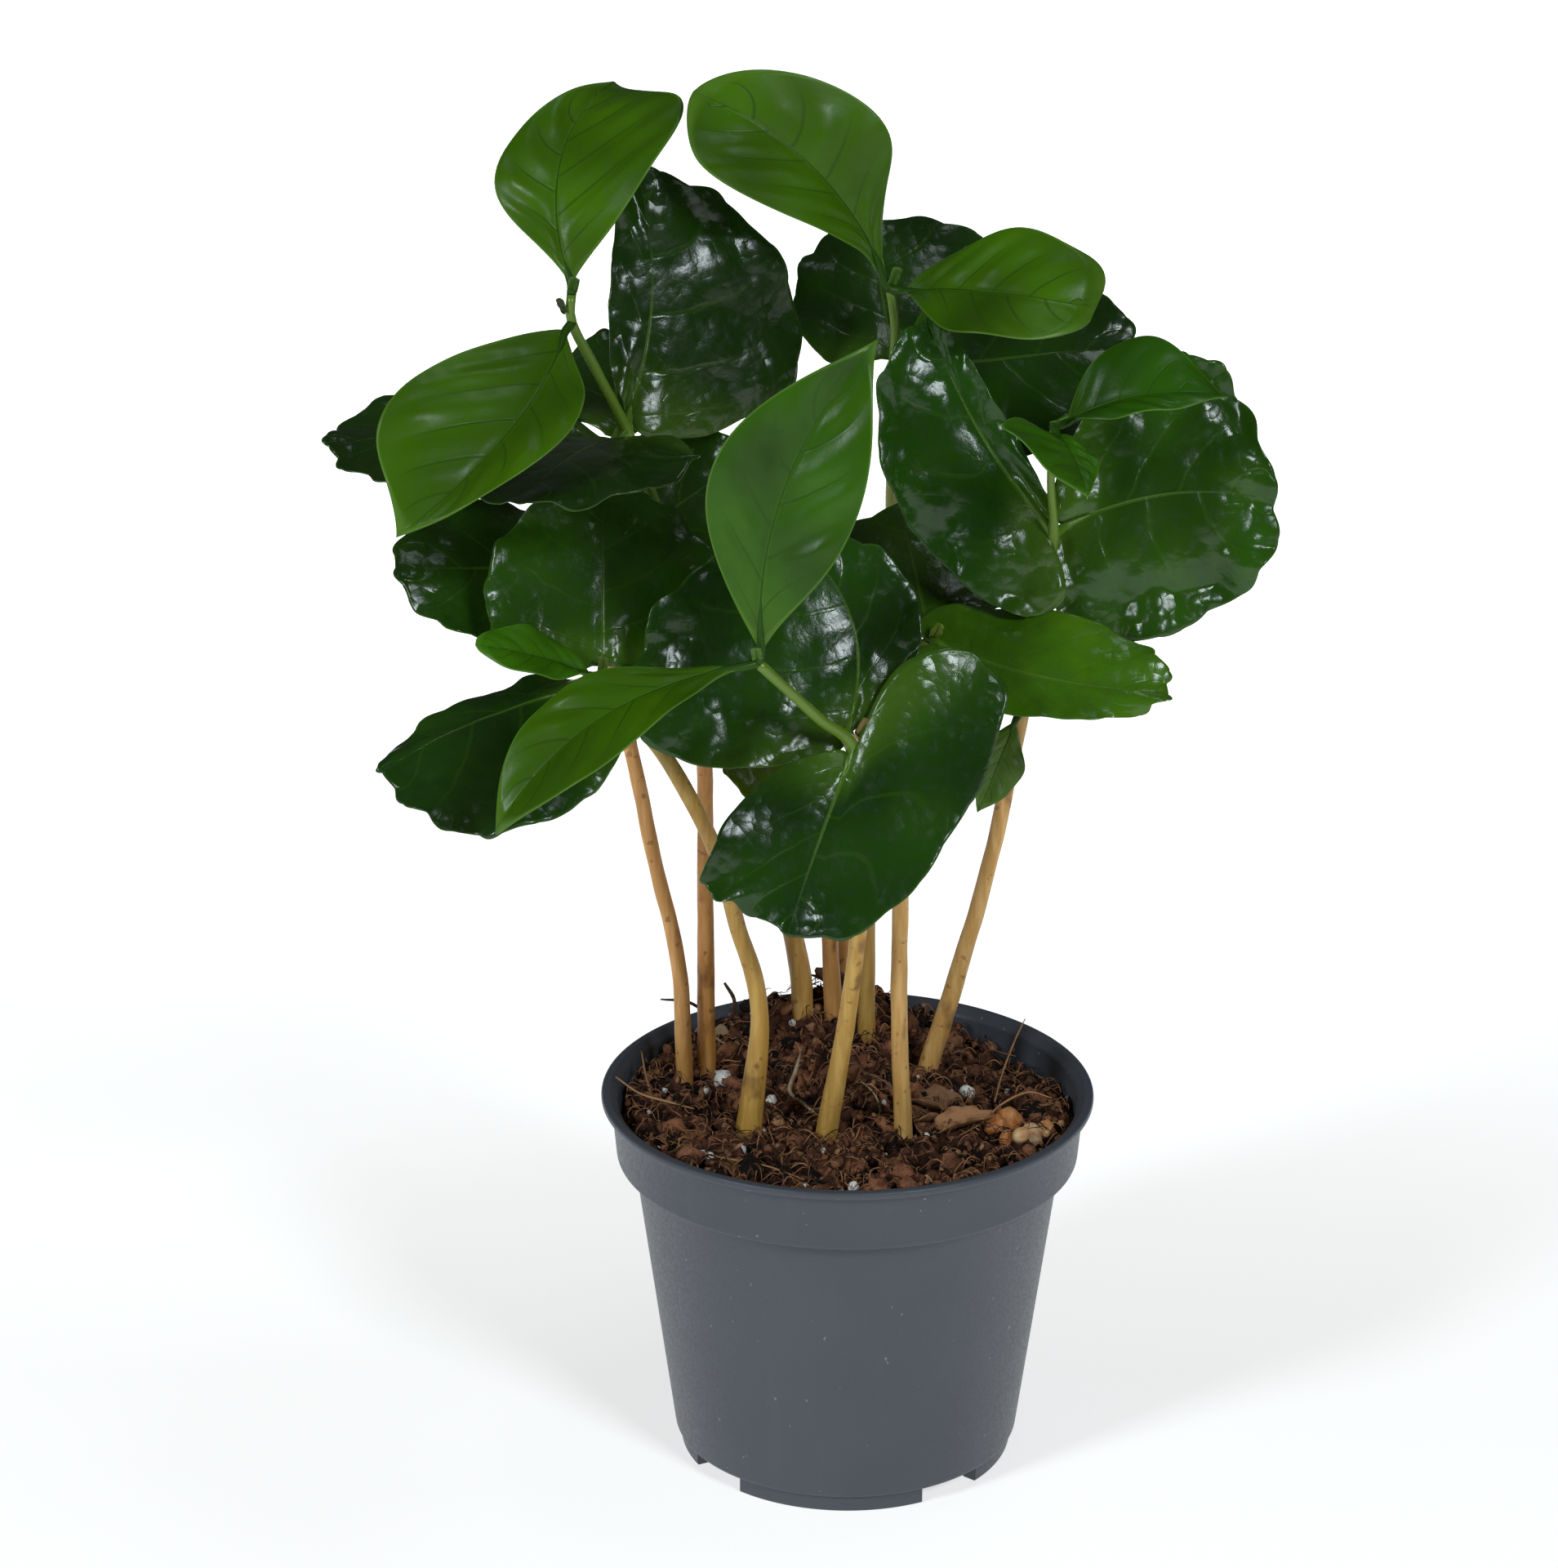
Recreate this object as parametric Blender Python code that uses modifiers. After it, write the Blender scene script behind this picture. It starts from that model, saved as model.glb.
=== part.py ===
# A potted coffee plant: ten seedlings in a small plastic nursery pot filled with soil.
# The values below are in millimetres and degrees, and MM turns them into the model's metres.
# +Z is up. The origin is the middle of the plane that the pot stands on, and the front faces -Y.

import math

import bmesh
import bpy
import numpy as np
from mathutils import Matrix, Vector

MM = 0.001

# Space left between two pieces that touch
TOUCH = 0.3

# Pot
POT_HEIGHT = 70.7
RIM_RADIUS = 45.0
LIP_HEIGHT = 1.5
BAND_TOP_RADIUS = 43.2
BAND_BOTTOM_RADIUS = 42.3
BAND_HEIGHT = 12.4
BODY_TOP_RADIUS = 39.2
BODY_BOTTOM_RADIUS = 31.9
WALL = 1.2
EDGE = 0.35
LEDGE_DROP = 0.7
FLOOR_CORNER = 1.2
FLOOR_TOP = 4.9
FOOT_HEIGHT = 3.3
FOOT_RADIUS = 30.8
FOOT_WIDTH = 3.0
PAD_RADIUS = 8.0
POT_STEPS = 56

# Feet are parted by four notches. The first is this far right of the front.
NOTCH_ANGLE = 38.3
NOTCH_WIDTH = 12.2
NOTCH_DEPTH = 8.0
DRAIN_RADIUS = 3.0
DRAIN_SIDES = 10
DRAIN_PLACE = 19.0

# Soil
SOIL_CELLS = 20
SOIL_LEVEL = 66.5
SOIL_GAP = 0.4
# Each swell of the surface: its middle x and y, its reach in x and y, and its height
SOIL_SWELLS = (
    (-3, 36, 20, 12, 7.0),
    (0, 8, 24, 24, 3.0),
    (-38, 0, 10, 20, 1.5),
    (32, 22, 14, 16, -2.5),
    (24, -18, 7, 6, 1.6),
    (-22, -22, 8, 6, 1.2),
)
CRUMB_HEIGHT = 0.7
CRUMB_WAVES = ((0.55, 0.9), (0.8, -0.5), (1.3, 0.3))

# Stems
STEM_SIDES_RESOLUTION = 2
STEM_POINT_EVERY = 11.0
STEM_DEPTH = 12.0
STEM_HOLE_SPACE = 0.5
HOLE_SIDES = 12

# Leaves
BLADE_THICKNESS = 0.7
BLADE_CELLS = 8
STALK_HALF_WIDTH = 0.9
STEM_SPACE = 2.2
STALK_GAP = 0.5
# Powers in the outlines: of a round leaf, of its lobes and their closing, of a pointed leaf and of a
# blunt one's tip
ROUND_POWER = 0.85
LOBE_POWER = 0.7
CLOSE_POWER = 8
POINT_POWER = 1.15
BLUNT_POWER = 0.65
SPINE_POINTS = 101

# Every stem's route runs from the soil's surface up. The point numbered node carries the seed leaves,
# and the radii hold at the soil, a quarter of the way up, at the node and at the end.
STEMS = {
    "a": dict(
        route=[
            (-4, -13, 67), (0, -16, 94), (2, -21, 119), (1, -25, 136), (0, -28, 147), (-6, -33, 154),
            (-16, -40, 166),
        ],
        node=4,
        radii=(2.0, 1.5, 1.4, 1.2),
    ),
    "b": dict(
        route=[
            (-26, 15, 68), (-26, 15, 86), (-26, 13, 106), (-26, 10, 131), (-28, 5, 156),
            (-33, 3, 177), (-39, 3, 194), (-44, 2, 205), (-48, 0, 214), (-48, 0, 219),
        ],
        node=6,
        radii=(1.7, 1.5, 1.3, 1.1),
    ),
    "c": dict(
        route=[(-8, 29, 72), (-9, 30, 84), (-16, 30, 112), (-27, 29, 144), (-37, 26, 170), (-42, 23, 186)],
        node=5,
        radii=(2.2, 1.6, 1.3, 1.3),
    ),
    "d": dict(
        route=[
            (-18, -11, 67), (-16, -10, 90), (-20, -10, 107), (-24, -11, 122), (-32, -13, 139),
            (-39, -15, 149), (-43, -17, 156),
        ],
        node=6,
        radii=(2.4, 1.6, 1.3, 1.3),
    ),
    "e": dict(
        route=[
            (4, 25, 71), (4, 27, 92), (5, 31, 128), (8, 31, 160), (8, 29, 176), (8, 25, 199),
            (8, 22, 208), (7, 20, 215),
        ],
        node=5,
        radii=(1.7, 1.5, 1.3, 1.1),
    ),
    "f": dict(
        route=[
            (15, 13, 68), (20, 13, 86), (26, 11, 111), (31, 6, 142), (34, 0, 163), (35, -6, 178),
            (34, -11, 189), (34, -15, 200),
        ],
        node=5,
        radii=(1.9, 1.5, 1.3, 0.8),
    ),
    "g": dict(
        route=[(10, -12, 67), (9, -12, 89), (9, -11, 112), (9, -10, 133), (12, -8, 149), (14, -8, 159)],
        node=5,
        radii=(1.7, 1.5, 1.4, 1.4),
    ),
    "h": dict(
        route=[(-30, 11, 68), (-31, 12, 90), (-35, 11, 110), (-39, 10, 132), (-43, 9, 151), (-46, 7, 168)],
        node=5,
        radii=(1.6, 1.4, 1.3, 1.3),
    ),
    "j": dict(
        route=[(-2, 28, 71), (-3, 27, 89), (-4, 20, 116), (-4, 13, 134)],
        node=3,
        radii=(2.0, 1.5, 1.3, 1.3),
    ),
    "k": dict(
        route=[(0, 38, 73), (0, 40, 83), (2, 46, 114), (6, 46, 142), (8, 44, 156), (9, 44, 162)],
        node=5,
        radii=(1.6, 1.4, 1.1, 1.1),
    ),
}

# What every leaf has unless its own entry below says otherwise. at is the number of the route point
# that it grows from, tip is where its tip lies, and face is the way that its upper side looks.
# bend curls the blade down along its length, cup curls it down across, and fold raises both halves.
# lean widens one half, sway bows the midrib sideways, and skew slants the blade. lobe draws its base
# corners back, skew gives one of them more of that, and close brings them together below the foot.
# blunt and broad fill out a pointed leaf's tip.
# wave and notch wave its edge up and down and in and out, waves and notches times around, and shift
# moves its foot clear of its neighbours.
SEED_LEAF = dict(
    pointed=False, bend=0, cup=10, fold=0, lean=0, sway=0, skew=0, lobe=0.1, close=0, blunt=0, broad=1,
    wave=0.9, waves=7, notch=0.015, notches=13, shift=(0, 0, 0),
)
TRUE_LEAF = dict(
    pointed=True, bend=20, cup=0, fold=14, lean=0, sway=0, skew=0, lobe=0, close=0, blunt=0, broad=1,
    wave=0.5, waves=5, notch=0, notches=0, shift=(0, 0, 0),
)
LEAVES = {
    "seed_leaf_a_1": dict(
        stem="a", at=4, tip=(-13.0, -12, 181.4), width=54, face=(0, -0.9, 0.45), lobe=0.06,
        close=0.85, fold=8, lean=-0.6, sway=6.9, skew=0.05, shift=(0, 1, 0),
    ),
    "seed_leaf_a_2": dict(
        stem="a", at=4, tip=(-11.1, -43, 118.1), width=40, face=(0, -0.95, 0.3), lobe=0.78,
        close=0.7, cup=-8, lean=-0.15, sway=0.3, skew=0.63, shift=(0.2, -2.5, -0.4),
    ),
    "true_leaf_a_1": dict(
        stem="a", at=6, tip=(4, -36, 221), width=26.5, face=(0.1, -0.9, 0.3), sway=-6.2,
    ),
    "true_leaf_a_2": dict(
        stem="a", at=6, tip=(-60, -56, 141.4), width=21.4, face=(-0.25, -0.5, 0.8), bend=48,
        fold=18, lean=-0.17, sway=3.8, skew=0.02, blunt=0.3, broad=1.28,
    ),
    "seed_leaf_b_1": dict(
        stem="b", at=6, tip=(-37.2, 17, 237.6), width=37.9, face=(0.3, -0.9, 0.3), lobe=0.16,
        close=0.85, lean=0.6, sway=3.5, skew=-0.16, shift=(0.3, 1.8, 0),
    ),
    "seed_leaf_b_2": dict(
        stem="b", at=6, tip=(-56, -26, 189), width=45, face=(-0.3, -0.35, 0.9), bend=30,
    ),
    "true_leaf_b_1": dict(
        stem="b", at=9, tip=(-41.1, 27.5, 251), width=31, face=(0, -0.85, 0.4), bend=45, lean=0.3,
        sway=-6, skew=0.5, blunt=0.15, broad=1.12, shift=(0, 0, 0.1),
    ),
    "true_leaf_b_2": dict(
        stem="b", at=8, tip=(-76.5, -34, 185.7), width=28.7, face=(-0.1, -0.75, 0.6), bend=50,
        lean=0.34, sway=-6, skew=0.43, blunt=0.14,
    ),
    "seed_leaf_c_1": dict(
        stem="c", at=5, tip=(-93, 14, 188), width=30, face=(0, -0.4, 0.9), lobe=-0.2, bend=20,
        shift=(-0.2, 0, 0.1),
    ),
    "seed_leaf_c_2": dict(
        stem="c", at=5, tip=(-43, 52, 199), width=28, face=(0, -0.8, 0.6), lobe=-0.2,
        shift=(0.6, 0.3, 0.7),
    ),
    "seed_leaf_d_1": dict(
        stem="d", at=6, tip=(-43, -2, 186), width=42, face=(0.1, -0.95, 0.3), lobe=0.15,
        shift=(0.1, 0.4, 0.2),
    ),
    "seed_leaf_d_2": dict(
        stem="d", at=6, tip=(-81.0, -30, 142.3), width=31.9, face=(-0.15, -0.45, 0.85), lobe=0.17,
        close=0.2, bend=20, lean=-0.6, sway=1.5, skew=-0.16, shift=(0, 0, -1.8),
    ),
    "true_leaf_d_1": dict(
        stem="d", at=6, tip=(-64, -31, 166), width=11, face=(0, -0.6, 0.8), blunt=1, broad=1.2,
        shift=(-0.2, -0.5, 0.1),
    ),
    "seed_leaf_e_1": dict(
        stem="e", at=5, tip=(4, 52, 221), width=44, face=(0, -0.72, 0.7), lean=0.25,
        shift=(0, 0.5, 0),
    ),
    "seed_leaf_e_2": dict(
        stem="e", at=5, tip=(52, 26, 203), width=38, face=(0, -0.72, 0.7), lobe=0, bend=10,
        shift=(0.4, -0.8, 0),
    ),
    "true_leaf_e_1": dict(
        stem="e", at=7, tip=(-27.6, 15.5, 251.1), width=29.5, face=(0.1, -0.85, 0.5), bend=47,
        sway=4, skew=-0.44, blunt=0.76, broad=1.55, shift=(0, 0, 0.2),
    ),
    "true_leaf_e_2": dict(
        stem="e", at=7, tip=(42.2, 1.4, 215.9), width=25.8, face=(0, -0.6, 0.75), bend=71,
        lean=-0.01, sway=3.4, skew=-0.04, blunt=1.28, broad=1.46,
    ),
    "seed_leaf_f_1": dict(
        stem="f", at=5, tip=(74.5, -3, 183.1), width=51, face=(0.1, -0.95, 0.3), lobe=0.16,
        close=0.0, lean=0.02, sway=-3.6, skew=-0.27, shift=(0.3, 2.9, 0),
    ),
    "seed_leaf_f_2": dict(
        stem="f", at=5, tip=(13, 6, 212), width=25, face=(-0.15, -0.88, 0.4), lobe=0.52, close=0.1,
        fold=10, lean=-0.57, sway=-2, skew=0.03, shift=(-0.8, 1.2, 0.5),
    ),
    "true_leaf_f_1": dict(
        stem="f", at=7, tip=(63, -20, 206), width=16, face=(0.1, -0.6, 0.8), bend=70, lean=-0.4,
    ),
    "true_leaf_f_2": dict(
        stem="f", at=7, tip=(38.9, -30.8, 191.7), width=20.8, face=(0.37, -0.08, 0.99), bend=30,
        lean=0.6, skew=-0.03,
    ),
    "true_leaf_f_3": dict(
        stem="f", at=3, tip=(23, 0, 124), width=10, face=(0.3, -0.9, 0.1), bend=10,
        shift=(-0.7, -0.7, 0),
    ),
    "seed_leaf_g_1": dict(
        stem="g", at=5, tip=(55.4, -20, 153.7), width=20, face=(0.1, -0.8, 0.6), lobe=0.2,
        close=0.3, bend=17, lean=-0.26, sway=2.7, skew=-0.22, shift=(0.2, -0.9, -0.2),
    ),
    "seed_leaf_g_2": dict(
        stem="g", at=5, tip=(9, 18, 176), width=44, face=(0, -0.6, 0.8), lobe=-0.1,
        shift=(0, 0.5, 0.4),
    ),
    "seed_leaf_h_1": dict(
        stem="h", at=5, tip=(-80, -4, 171), width=29, face=(0, -0.7, 0.7), shift=(-0.2, 0, 0.1),
    ),
    "seed_leaf_h_2": dict(stem="h", at=5, tip=(-17, 17, 186), width=30, face=(0.1, -0.9, 0.4), lobe=0),
    "seed_leaf_j_1": dict(
        stem="j", at=3, tip=(-22, 0, 131), width=26, face=(0, -0.5, 0.85), lobe=-0.05, bend=20,
        lean=-0.3,
    ),
    "seed_leaf_j_2": dict(
        stem="j", at=3, tip=(-8, 36, 146), width=18, face=(0, -0.5, 0.85), lobe=-0.15, bend=10,
        shift=(0, 0.2, 0.2),
    ),
    "seed_leaf_k_1": dict(
        stem="k", at=5, tip=(-12, 54, 154), width=32, face=(0, 0.3, 0.9), lobe=-0.1, bend=20,
    ),
    "seed_leaf_k_2": dict(
        stem="k", at=5, tip=(31, 54, 162), width=32, face=(0, 0.3, 0.9), lobe=-0.1, bend=20,
        shift=(0.3, 0.3, 0.2),
    ),
}

# Colours, as linear red, green and blue
COLOURS = {
    "pot_plastic": ((0.085, 0.095, 0.125), 0.42),
    "soil": ((0.045, 0.022, 0.012), 0.95),
    "stem": ((0.42, 0.27, 0.085), 0.5),
    "seed_leaf": ((0.012, 0.055, 0.014), 0.22),
    "true_leaf": ((0.035, 0.14, 0.012), 0.3),
}


def clear_scene():
    for old in list(bpy.data.objects):
        bpy.data.objects.remove(old, do_unlink=True)


def make_collection(name):
    collection = bpy.data.collections.new(name)
    bpy.context.scene.collection.children.link(collection)
    return collection


def make_materials():
    made = {}
    for name, (colour, roughness) in COLOURS.items():
        material = bpy.data.materials.new(name)
        material.use_nodes = True
        shader = material.node_tree.nodes["Principled BSDF"]
        shader.inputs["Base Color"].default_value = (*colour, 1)
        shader.inputs["Roughness"].default_value = roughness
        shader.inputs["Metallic"].default_value = 0
        material.diffuse_color = (*colour, 1)
        made[name] = material
    return made


def add_object(name, mesh, collection, material=None):
    made = bpy.data.objects.new(name, mesh)
    collection.objects.link(made)
    if material:
        mesh.materials.append(material)
    return made


def mesh_of(bm, name, smooth=True):
    mesh = bpy.data.meshes.new(name)
    bm.to_mesh(mesh)
    bm.free()
    if smooth:
        mesh.shade_smooth()
    return mesh


def cut_with(target, cutters):
    cut = target.modifiers.new("Cut", "BOOLEAN")
    cut.operation = "DIFFERENCE"
    cut.operand_type = "COLLECTION"
    cut.collection = cutters
    cut.solver = "EXACT"


def as_cutter(cutter):
    cutter.hide_render = True
    cutter.display_type = "WIRE"


def add_rod(bm, radius, length, sides):
    bmesh.ops.create_cone(
        bm, cap_ends=True, segments=sides, radius1=radius, radius2=radius, depth=length
    )


def pot_profile():
    """Radius and height of every corner, from the floor's middle up the inside and down the outside."""
    lip_bottom = POT_HEIGHT - LIP_HEIGHT
    band_bottom = POT_HEIGHT - BAND_HEIGHT
    inside = [
        (0, FLOOR_TOP),
        (BODY_BOTTOM_RADIUS - WALL - FLOOR_CORNER, FLOOR_TOP),
        (BODY_BOTTOM_RADIUS - WALL, FLOOR_TOP + FLOOR_CORNER),
        (BODY_TOP_RADIUS - WALL, band_bottom + WALL - LEDGE_DROP),
        (BAND_BOTTOM_RADIUS - WALL, band_bottom + WALL),
        (BAND_TOP_RADIUS - WALL, lip_bottom),
        (RIM_RADIUS - LIP_HEIGHT - EDGE, POT_HEIGHT - EDGE),
    ]
    outside = [
        (RIM_RADIUS - LIP_HEIGHT, POT_HEIGHT),
        (RIM_RADIUS - EDGE, POT_HEIGHT),
        (RIM_RADIUS, POT_HEIGHT - EDGE),
        (RIM_RADIUS, lip_bottom + EDGE),
        (RIM_RADIUS - EDGE, lip_bottom),
        (BAND_TOP_RADIUS, lip_bottom - EDGE),
        (BAND_BOTTOM_RADIUS, band_bottom + EDGE),
        (BAND_BOTTOM_RADIUS - EDGE, band_bottom),
        (BODY_TOP_RADIUS, band_bottom - EDGE),
        (BODY_BOTTOM_RADIUS, FOOT_HEIGHT + EDGE),
        (BODY_BOTTOM_RADIUS - EDGE, FOOT_HEIGHT),
        (FOOT_RADIUS, FOOT_HEIGHT),
        (FOOT_RADIUS, 0),
        (FOOT_RADIUS - FOOT_WIDTH, 0),
        (FOOT_RADIUS - FOOT_WIDTH, FOOT_HEIGHT),
        (PAD_RADIUS, FOOT_HEIGHT),
        (PAD_RADIUS, 0),
        (0, 0),
    ]
    return inside + outside


def add_pot_cutters(cutters):
    """Four notches between the feet, and four drain holes in the floor."""
    for quarter in range(4):
        angle = math.radians(NOTCH_ANGLE + 90 * quarter)
        outward = Vector((math.sin(angle), -math.cos(angle), 0))
        bm = bmesh.new()
        bmesh.ops.create_cube(bm, size=1)
        size = Matrix.Diagonal((NOTCH_WIDTH, NOTCH_DEPTH, 2 * FOOT_HEIGHT, 1))
        place = Matrix.Translation(outward * (FOOT_RADIUS - FOOT_WIDTH / 2))
        bm.transform(Matrix.Scale(MM, 4) @ place @ Matrix.Rotation(angle, 4, "Z") @ size)
        as_cutter(add_object(f"notch_{quarter}", mesh_of(bm, "notch", False), cutters))

        bm = bmesh.new()
        add_rod(bm, DRAIN_RADIUS, 2 * FLOOR_TOP, DRAIN_SIDES)
        place = Matrix.Translation(outward * DRAIN_PLACE + Vector((0, 0, FLOOR_TOP)))
        bm.transform(Matrix.Scale(MM, 4) @ place)
        as_cutter(add_object(f"drain_{quarter}", mesh_of(bm, "drain", False), cutters))


def make_pot(parts, cutters, material):
    bm = bmesh.new()
    corners = [bm.verts.new((radius * MM, 0, height * MM)) for radius, height in pot_profile()]
    for first, second in zip(corners, corners[1:]):
        bm.edges.new((first, second))
    pot = add_object("pot", mesh_of(bm, "pot", False), parts, material)
    turn = pot.modifiers.new("Turn", "SCREW")
    turn.steps = POT_STEPS
    turn.render_steps = POT_STEPS
    turn.use_merge_vertices = True
    turn.merge_threshold = 0.00001
    turn.use_smooth_shade = True
    cut_with(pot, cutters)


def soil_height(x, y):
    """The mounded surface, with crumbs as the sum of three crossing waves."""
    height = SOIL_LEVEL
    for middle_x, middle_y, reach_x, reach_y, rise in SOIL_SWELLS:
        height += rise * math.exp(-(((x - middle_x) / reach_x) ** 2) - ((y - middle_y) / reach_y) ** 2)
    for number, (along_x, along_y) in enumerate(CRUMB_WAVES):
        height += CRUMB_HEIGHT / 2 * math.sin(along_x * x + along_y * y + number)
    return height


def disc_point(a, b):
    """The square from -1 to 1 drawn in to the unit disc, its sides onto the circle."""
    return a * np.sqrt(1 - b * b / 2), b * np.sqrt(1 - a * a / 2)


def soil_rings():
    """Radius and height of the soil's side, down the pot's inner wall to its floor."""
    ledge = POT_HEIGHT - BAND_HEIGHT + WALL
    return [
        (BAND_BOTTOM_RADIUS - WALL - SOIL_GAP, ledge + SOIL_GAP),
        (BODY_TOP_RADIUS - WALL - SOIL_GAP, ledge - LEDGE_DROP),
        (BODY_BOTTOM_RADIUS - WALL - SOIL_GAP, FLOOR_TOP + FLOOR_CORNER + SOIL_GAP),
        (BODY_BOTTOM_RADIUS - WALL - SOIL_GAP - FLOOR_CORNER, FLOOR_TOP + SOIL_GAP),
    ]


def make_soil(parts, cutters, material):
    """A disc of cells raised to the surface, its edge drawn down as the side and closed by one face."""
    top_radius = BAND_BOTTOM_RADIUS - WALL
    bm = bmesh.new()
    bmesh.ops.create_grid(bm, x_segments=SOIL_CELLS, y_segments=SOIL_CELLS, size=1)
    for vert in bm.verts:
        x, y = (float(part) * top_radius for part in disc_point(vert.co.x, vert.co.y))
        vert.co = Vector((x, y, soil_height(x, y))) * MM
    bmesh.ops.triangulate(bm, faces=bm.faces[:])
    edge = [e for e in bm.edges if e.is_boundary]
    for radius, height in soil_rings():
        grown = bmesh.ops.extrude_edge_only(bm, edges=edge)["geom"]
        for vert in (item for item in grown if isinstance(item, bmesh.types.BMVert)):
            outward = Vector((vert.co.x, vert.co.y, 0)).normalized()
            vert.co = (outward * radius + Vector((0, 0, height))) * MM
        edge = [item for item in grown if isinstance(item, bmesh.types.BMEdge)]
    bmesh.ops.contextual_create(bm, geom=edge)
    bmesh.ops.recalc_face_normals(bm, faces=bm.faces[:])
    soil = add_object("soil", mesh_of(bm, "soil"), parts, material)
    cut_with(soil, cutters)


def smooth_route(route, every):
    """Points on a Catmull-Rom curve through the route's own points, about one for each length of every."""
    points = [Vector(point) for point in route]
    points = [2 * points[0] - points[1], *points, 2 * points[-1] - points[-2]]
    found = []
    for before, start, end, after in zip(points, points[1:], points[2:], points[3:]):
        count = max(1, round((end - start).length / every))
        for step in range(count):
            t = step / count
            found.append(
                0.5
                * (
                    2 * start
                    + (end - before) * t
                    + (2 * before - 5 * start + 4 * end - after) * t**2
                    + (3 * start - before - 3 * end + after) * t**3
                )
            )
    return found + [points[-2]]


def stem_radius(entry, share):
    """The stem's radius at this share of its way up."""
    node_share = entry["node"] / (len(entry["route"]) - 1)
    return float(np.interp(share, (0, 0.25, node_share, 1), entry["radii"]))


def make_stem(name, entry, parts, material):
    path = smooth_route(entry["route"], STEM_POINT_EVERY)
    down = (path[0] - path[1]).normalized()
    radii = [stem_radius(entry, step / (len(path) - 1)) for step in range(len(path))]
    path = [path[0] + down * STEM_DEPTH, *path]
    radii = [radii[0], *radii]
    curve = bpy.data.curves.new(name, "CURVE")
    curve.dimensions = "3D"
    curve.bevel_depth = MM
    curve.bevel_resolution = STEM_SIDES_RESOLUTION
    curve.use_fill_caps = True
    spline = curve.splines.new("POLY")
    spline.points.add(len(path) - 1)
    for point, place, radius in zip(spline.points, path, radii):
        point.co = (*(place * MM), 1)
        point.radius = radius
    spline.use_smooth = True
    stem = bpy.data.objects.new(name, curve)
    parts.objects.link(stem)
    curve.materials.append(material)


def add_stem_hole(name, entry, cutters):
    """A round hole along the stem's straight foot, a little wider than it and a little deeper."""
    path = smooth_route(entry["route"], STEM_POINT_EVERY)
    foot = path[0]
    up = (path[1] - path[0]).normalized()
    length = 2 * STEM_DEPTH
    bm = bmesh.new()
    add_rod(bm, entry["radii"][0] + STEM_HOLE_SPACE, length, HOLE_SIDES)
    middle = foot + up * (length / 2 - STEM_DEPTH - TOUCH)
    turn = up.to_track_quat("Z", "Y").to_matrix().to_4x4()
    bm.transform(Matrix.Scale(MM, 4) @ Matrix.Translation(middle) @ turn)
    as_cutter(add_object(name, mesh_of(bm, name, False), cutters))


def spine_of(bend):
    """The midrib as an arc of unit length: how far along, its two coordinates and its angle."""
    along = np.linspace(0, 1, SPINE_POINTS)
    angle = math.radians(bend) * along
    middle = (angle[1:] + angle[:-1]) / 2
    forward = np.concatenate([[0], np.cumsum(np.cos(middle))]) / (SPINE_POINTS - 1)
    drop = -np.concatenate([[0], np.cumsum(np.sin(middle))]) / (SPINE_POINTS - 1)
    return along, forward, drop, angle


def flat_blade(a, b, leaf, length):
    """Where the point a, b of the square lies on the flat blade, its share of the length, and its lift."""
    p, q = disc_point(a, b)
    chord = np.sqrt(np.clip(1 - q * q, 0, 1))
    half = leaf["width"] / 2
    if leaf["pointed"]:
        share = np.arcsin(np.clip(q, -1, 1)) / math.pi + 0.5
        power = POINT_POWER - BLUNT_POWER * leaf["blunt"] * share
        shape = np.clip(np.sin(math.pi * share ** leaf["broad"]), 0, 1) ** power
    else:
        share = (q + 1) / 2
        shape = np.sqrt(np.clip(1 - (2 * share**ROUND_POWER - 1) ** 2, 0, 1))
    width = np.maximum(half * shape, STALK_HALF_WIDTH * np.minimum(1, 4 * chord))
    side = np.clip(p / np.maximum(chord, 1e-6), -1, 1)
    x = side * width
    x = x * (1 + leaf["lean"] * np.sign(x))
    back = np.clip((np.abs(x) - STEM_SPACE) / half, 0, 1) ** LOBE_POWER
    back = back * (1 - leaf["skew"] * np.sign(x))
    y = share * length - leaf["lobe"] * length * (1 - share) ** 2 * back
    y = y + leaf["skew"] * x * np.sin(math.pi * share)
    loose = np.sign(x) * np.maximum(np.abs(x) - STALK_HALF_WIDTH, 0)
    x = x - leaf["close"] * (1 - share) ** CLOSE_POWER * loose
    rim = np.hypot(p, q)
    turn = np.arctan2(p, q)
    notched = 1 + leaf["notch"] * rim**6 * np.sin(leaf["notches"] * turn + leaf["phase"])
    lift = leaf["wave"] * rim**3 * np.sin(leaf["waves"] * turn + leaf["phase"])
    return x * notched, y * notched, share, lift


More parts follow.
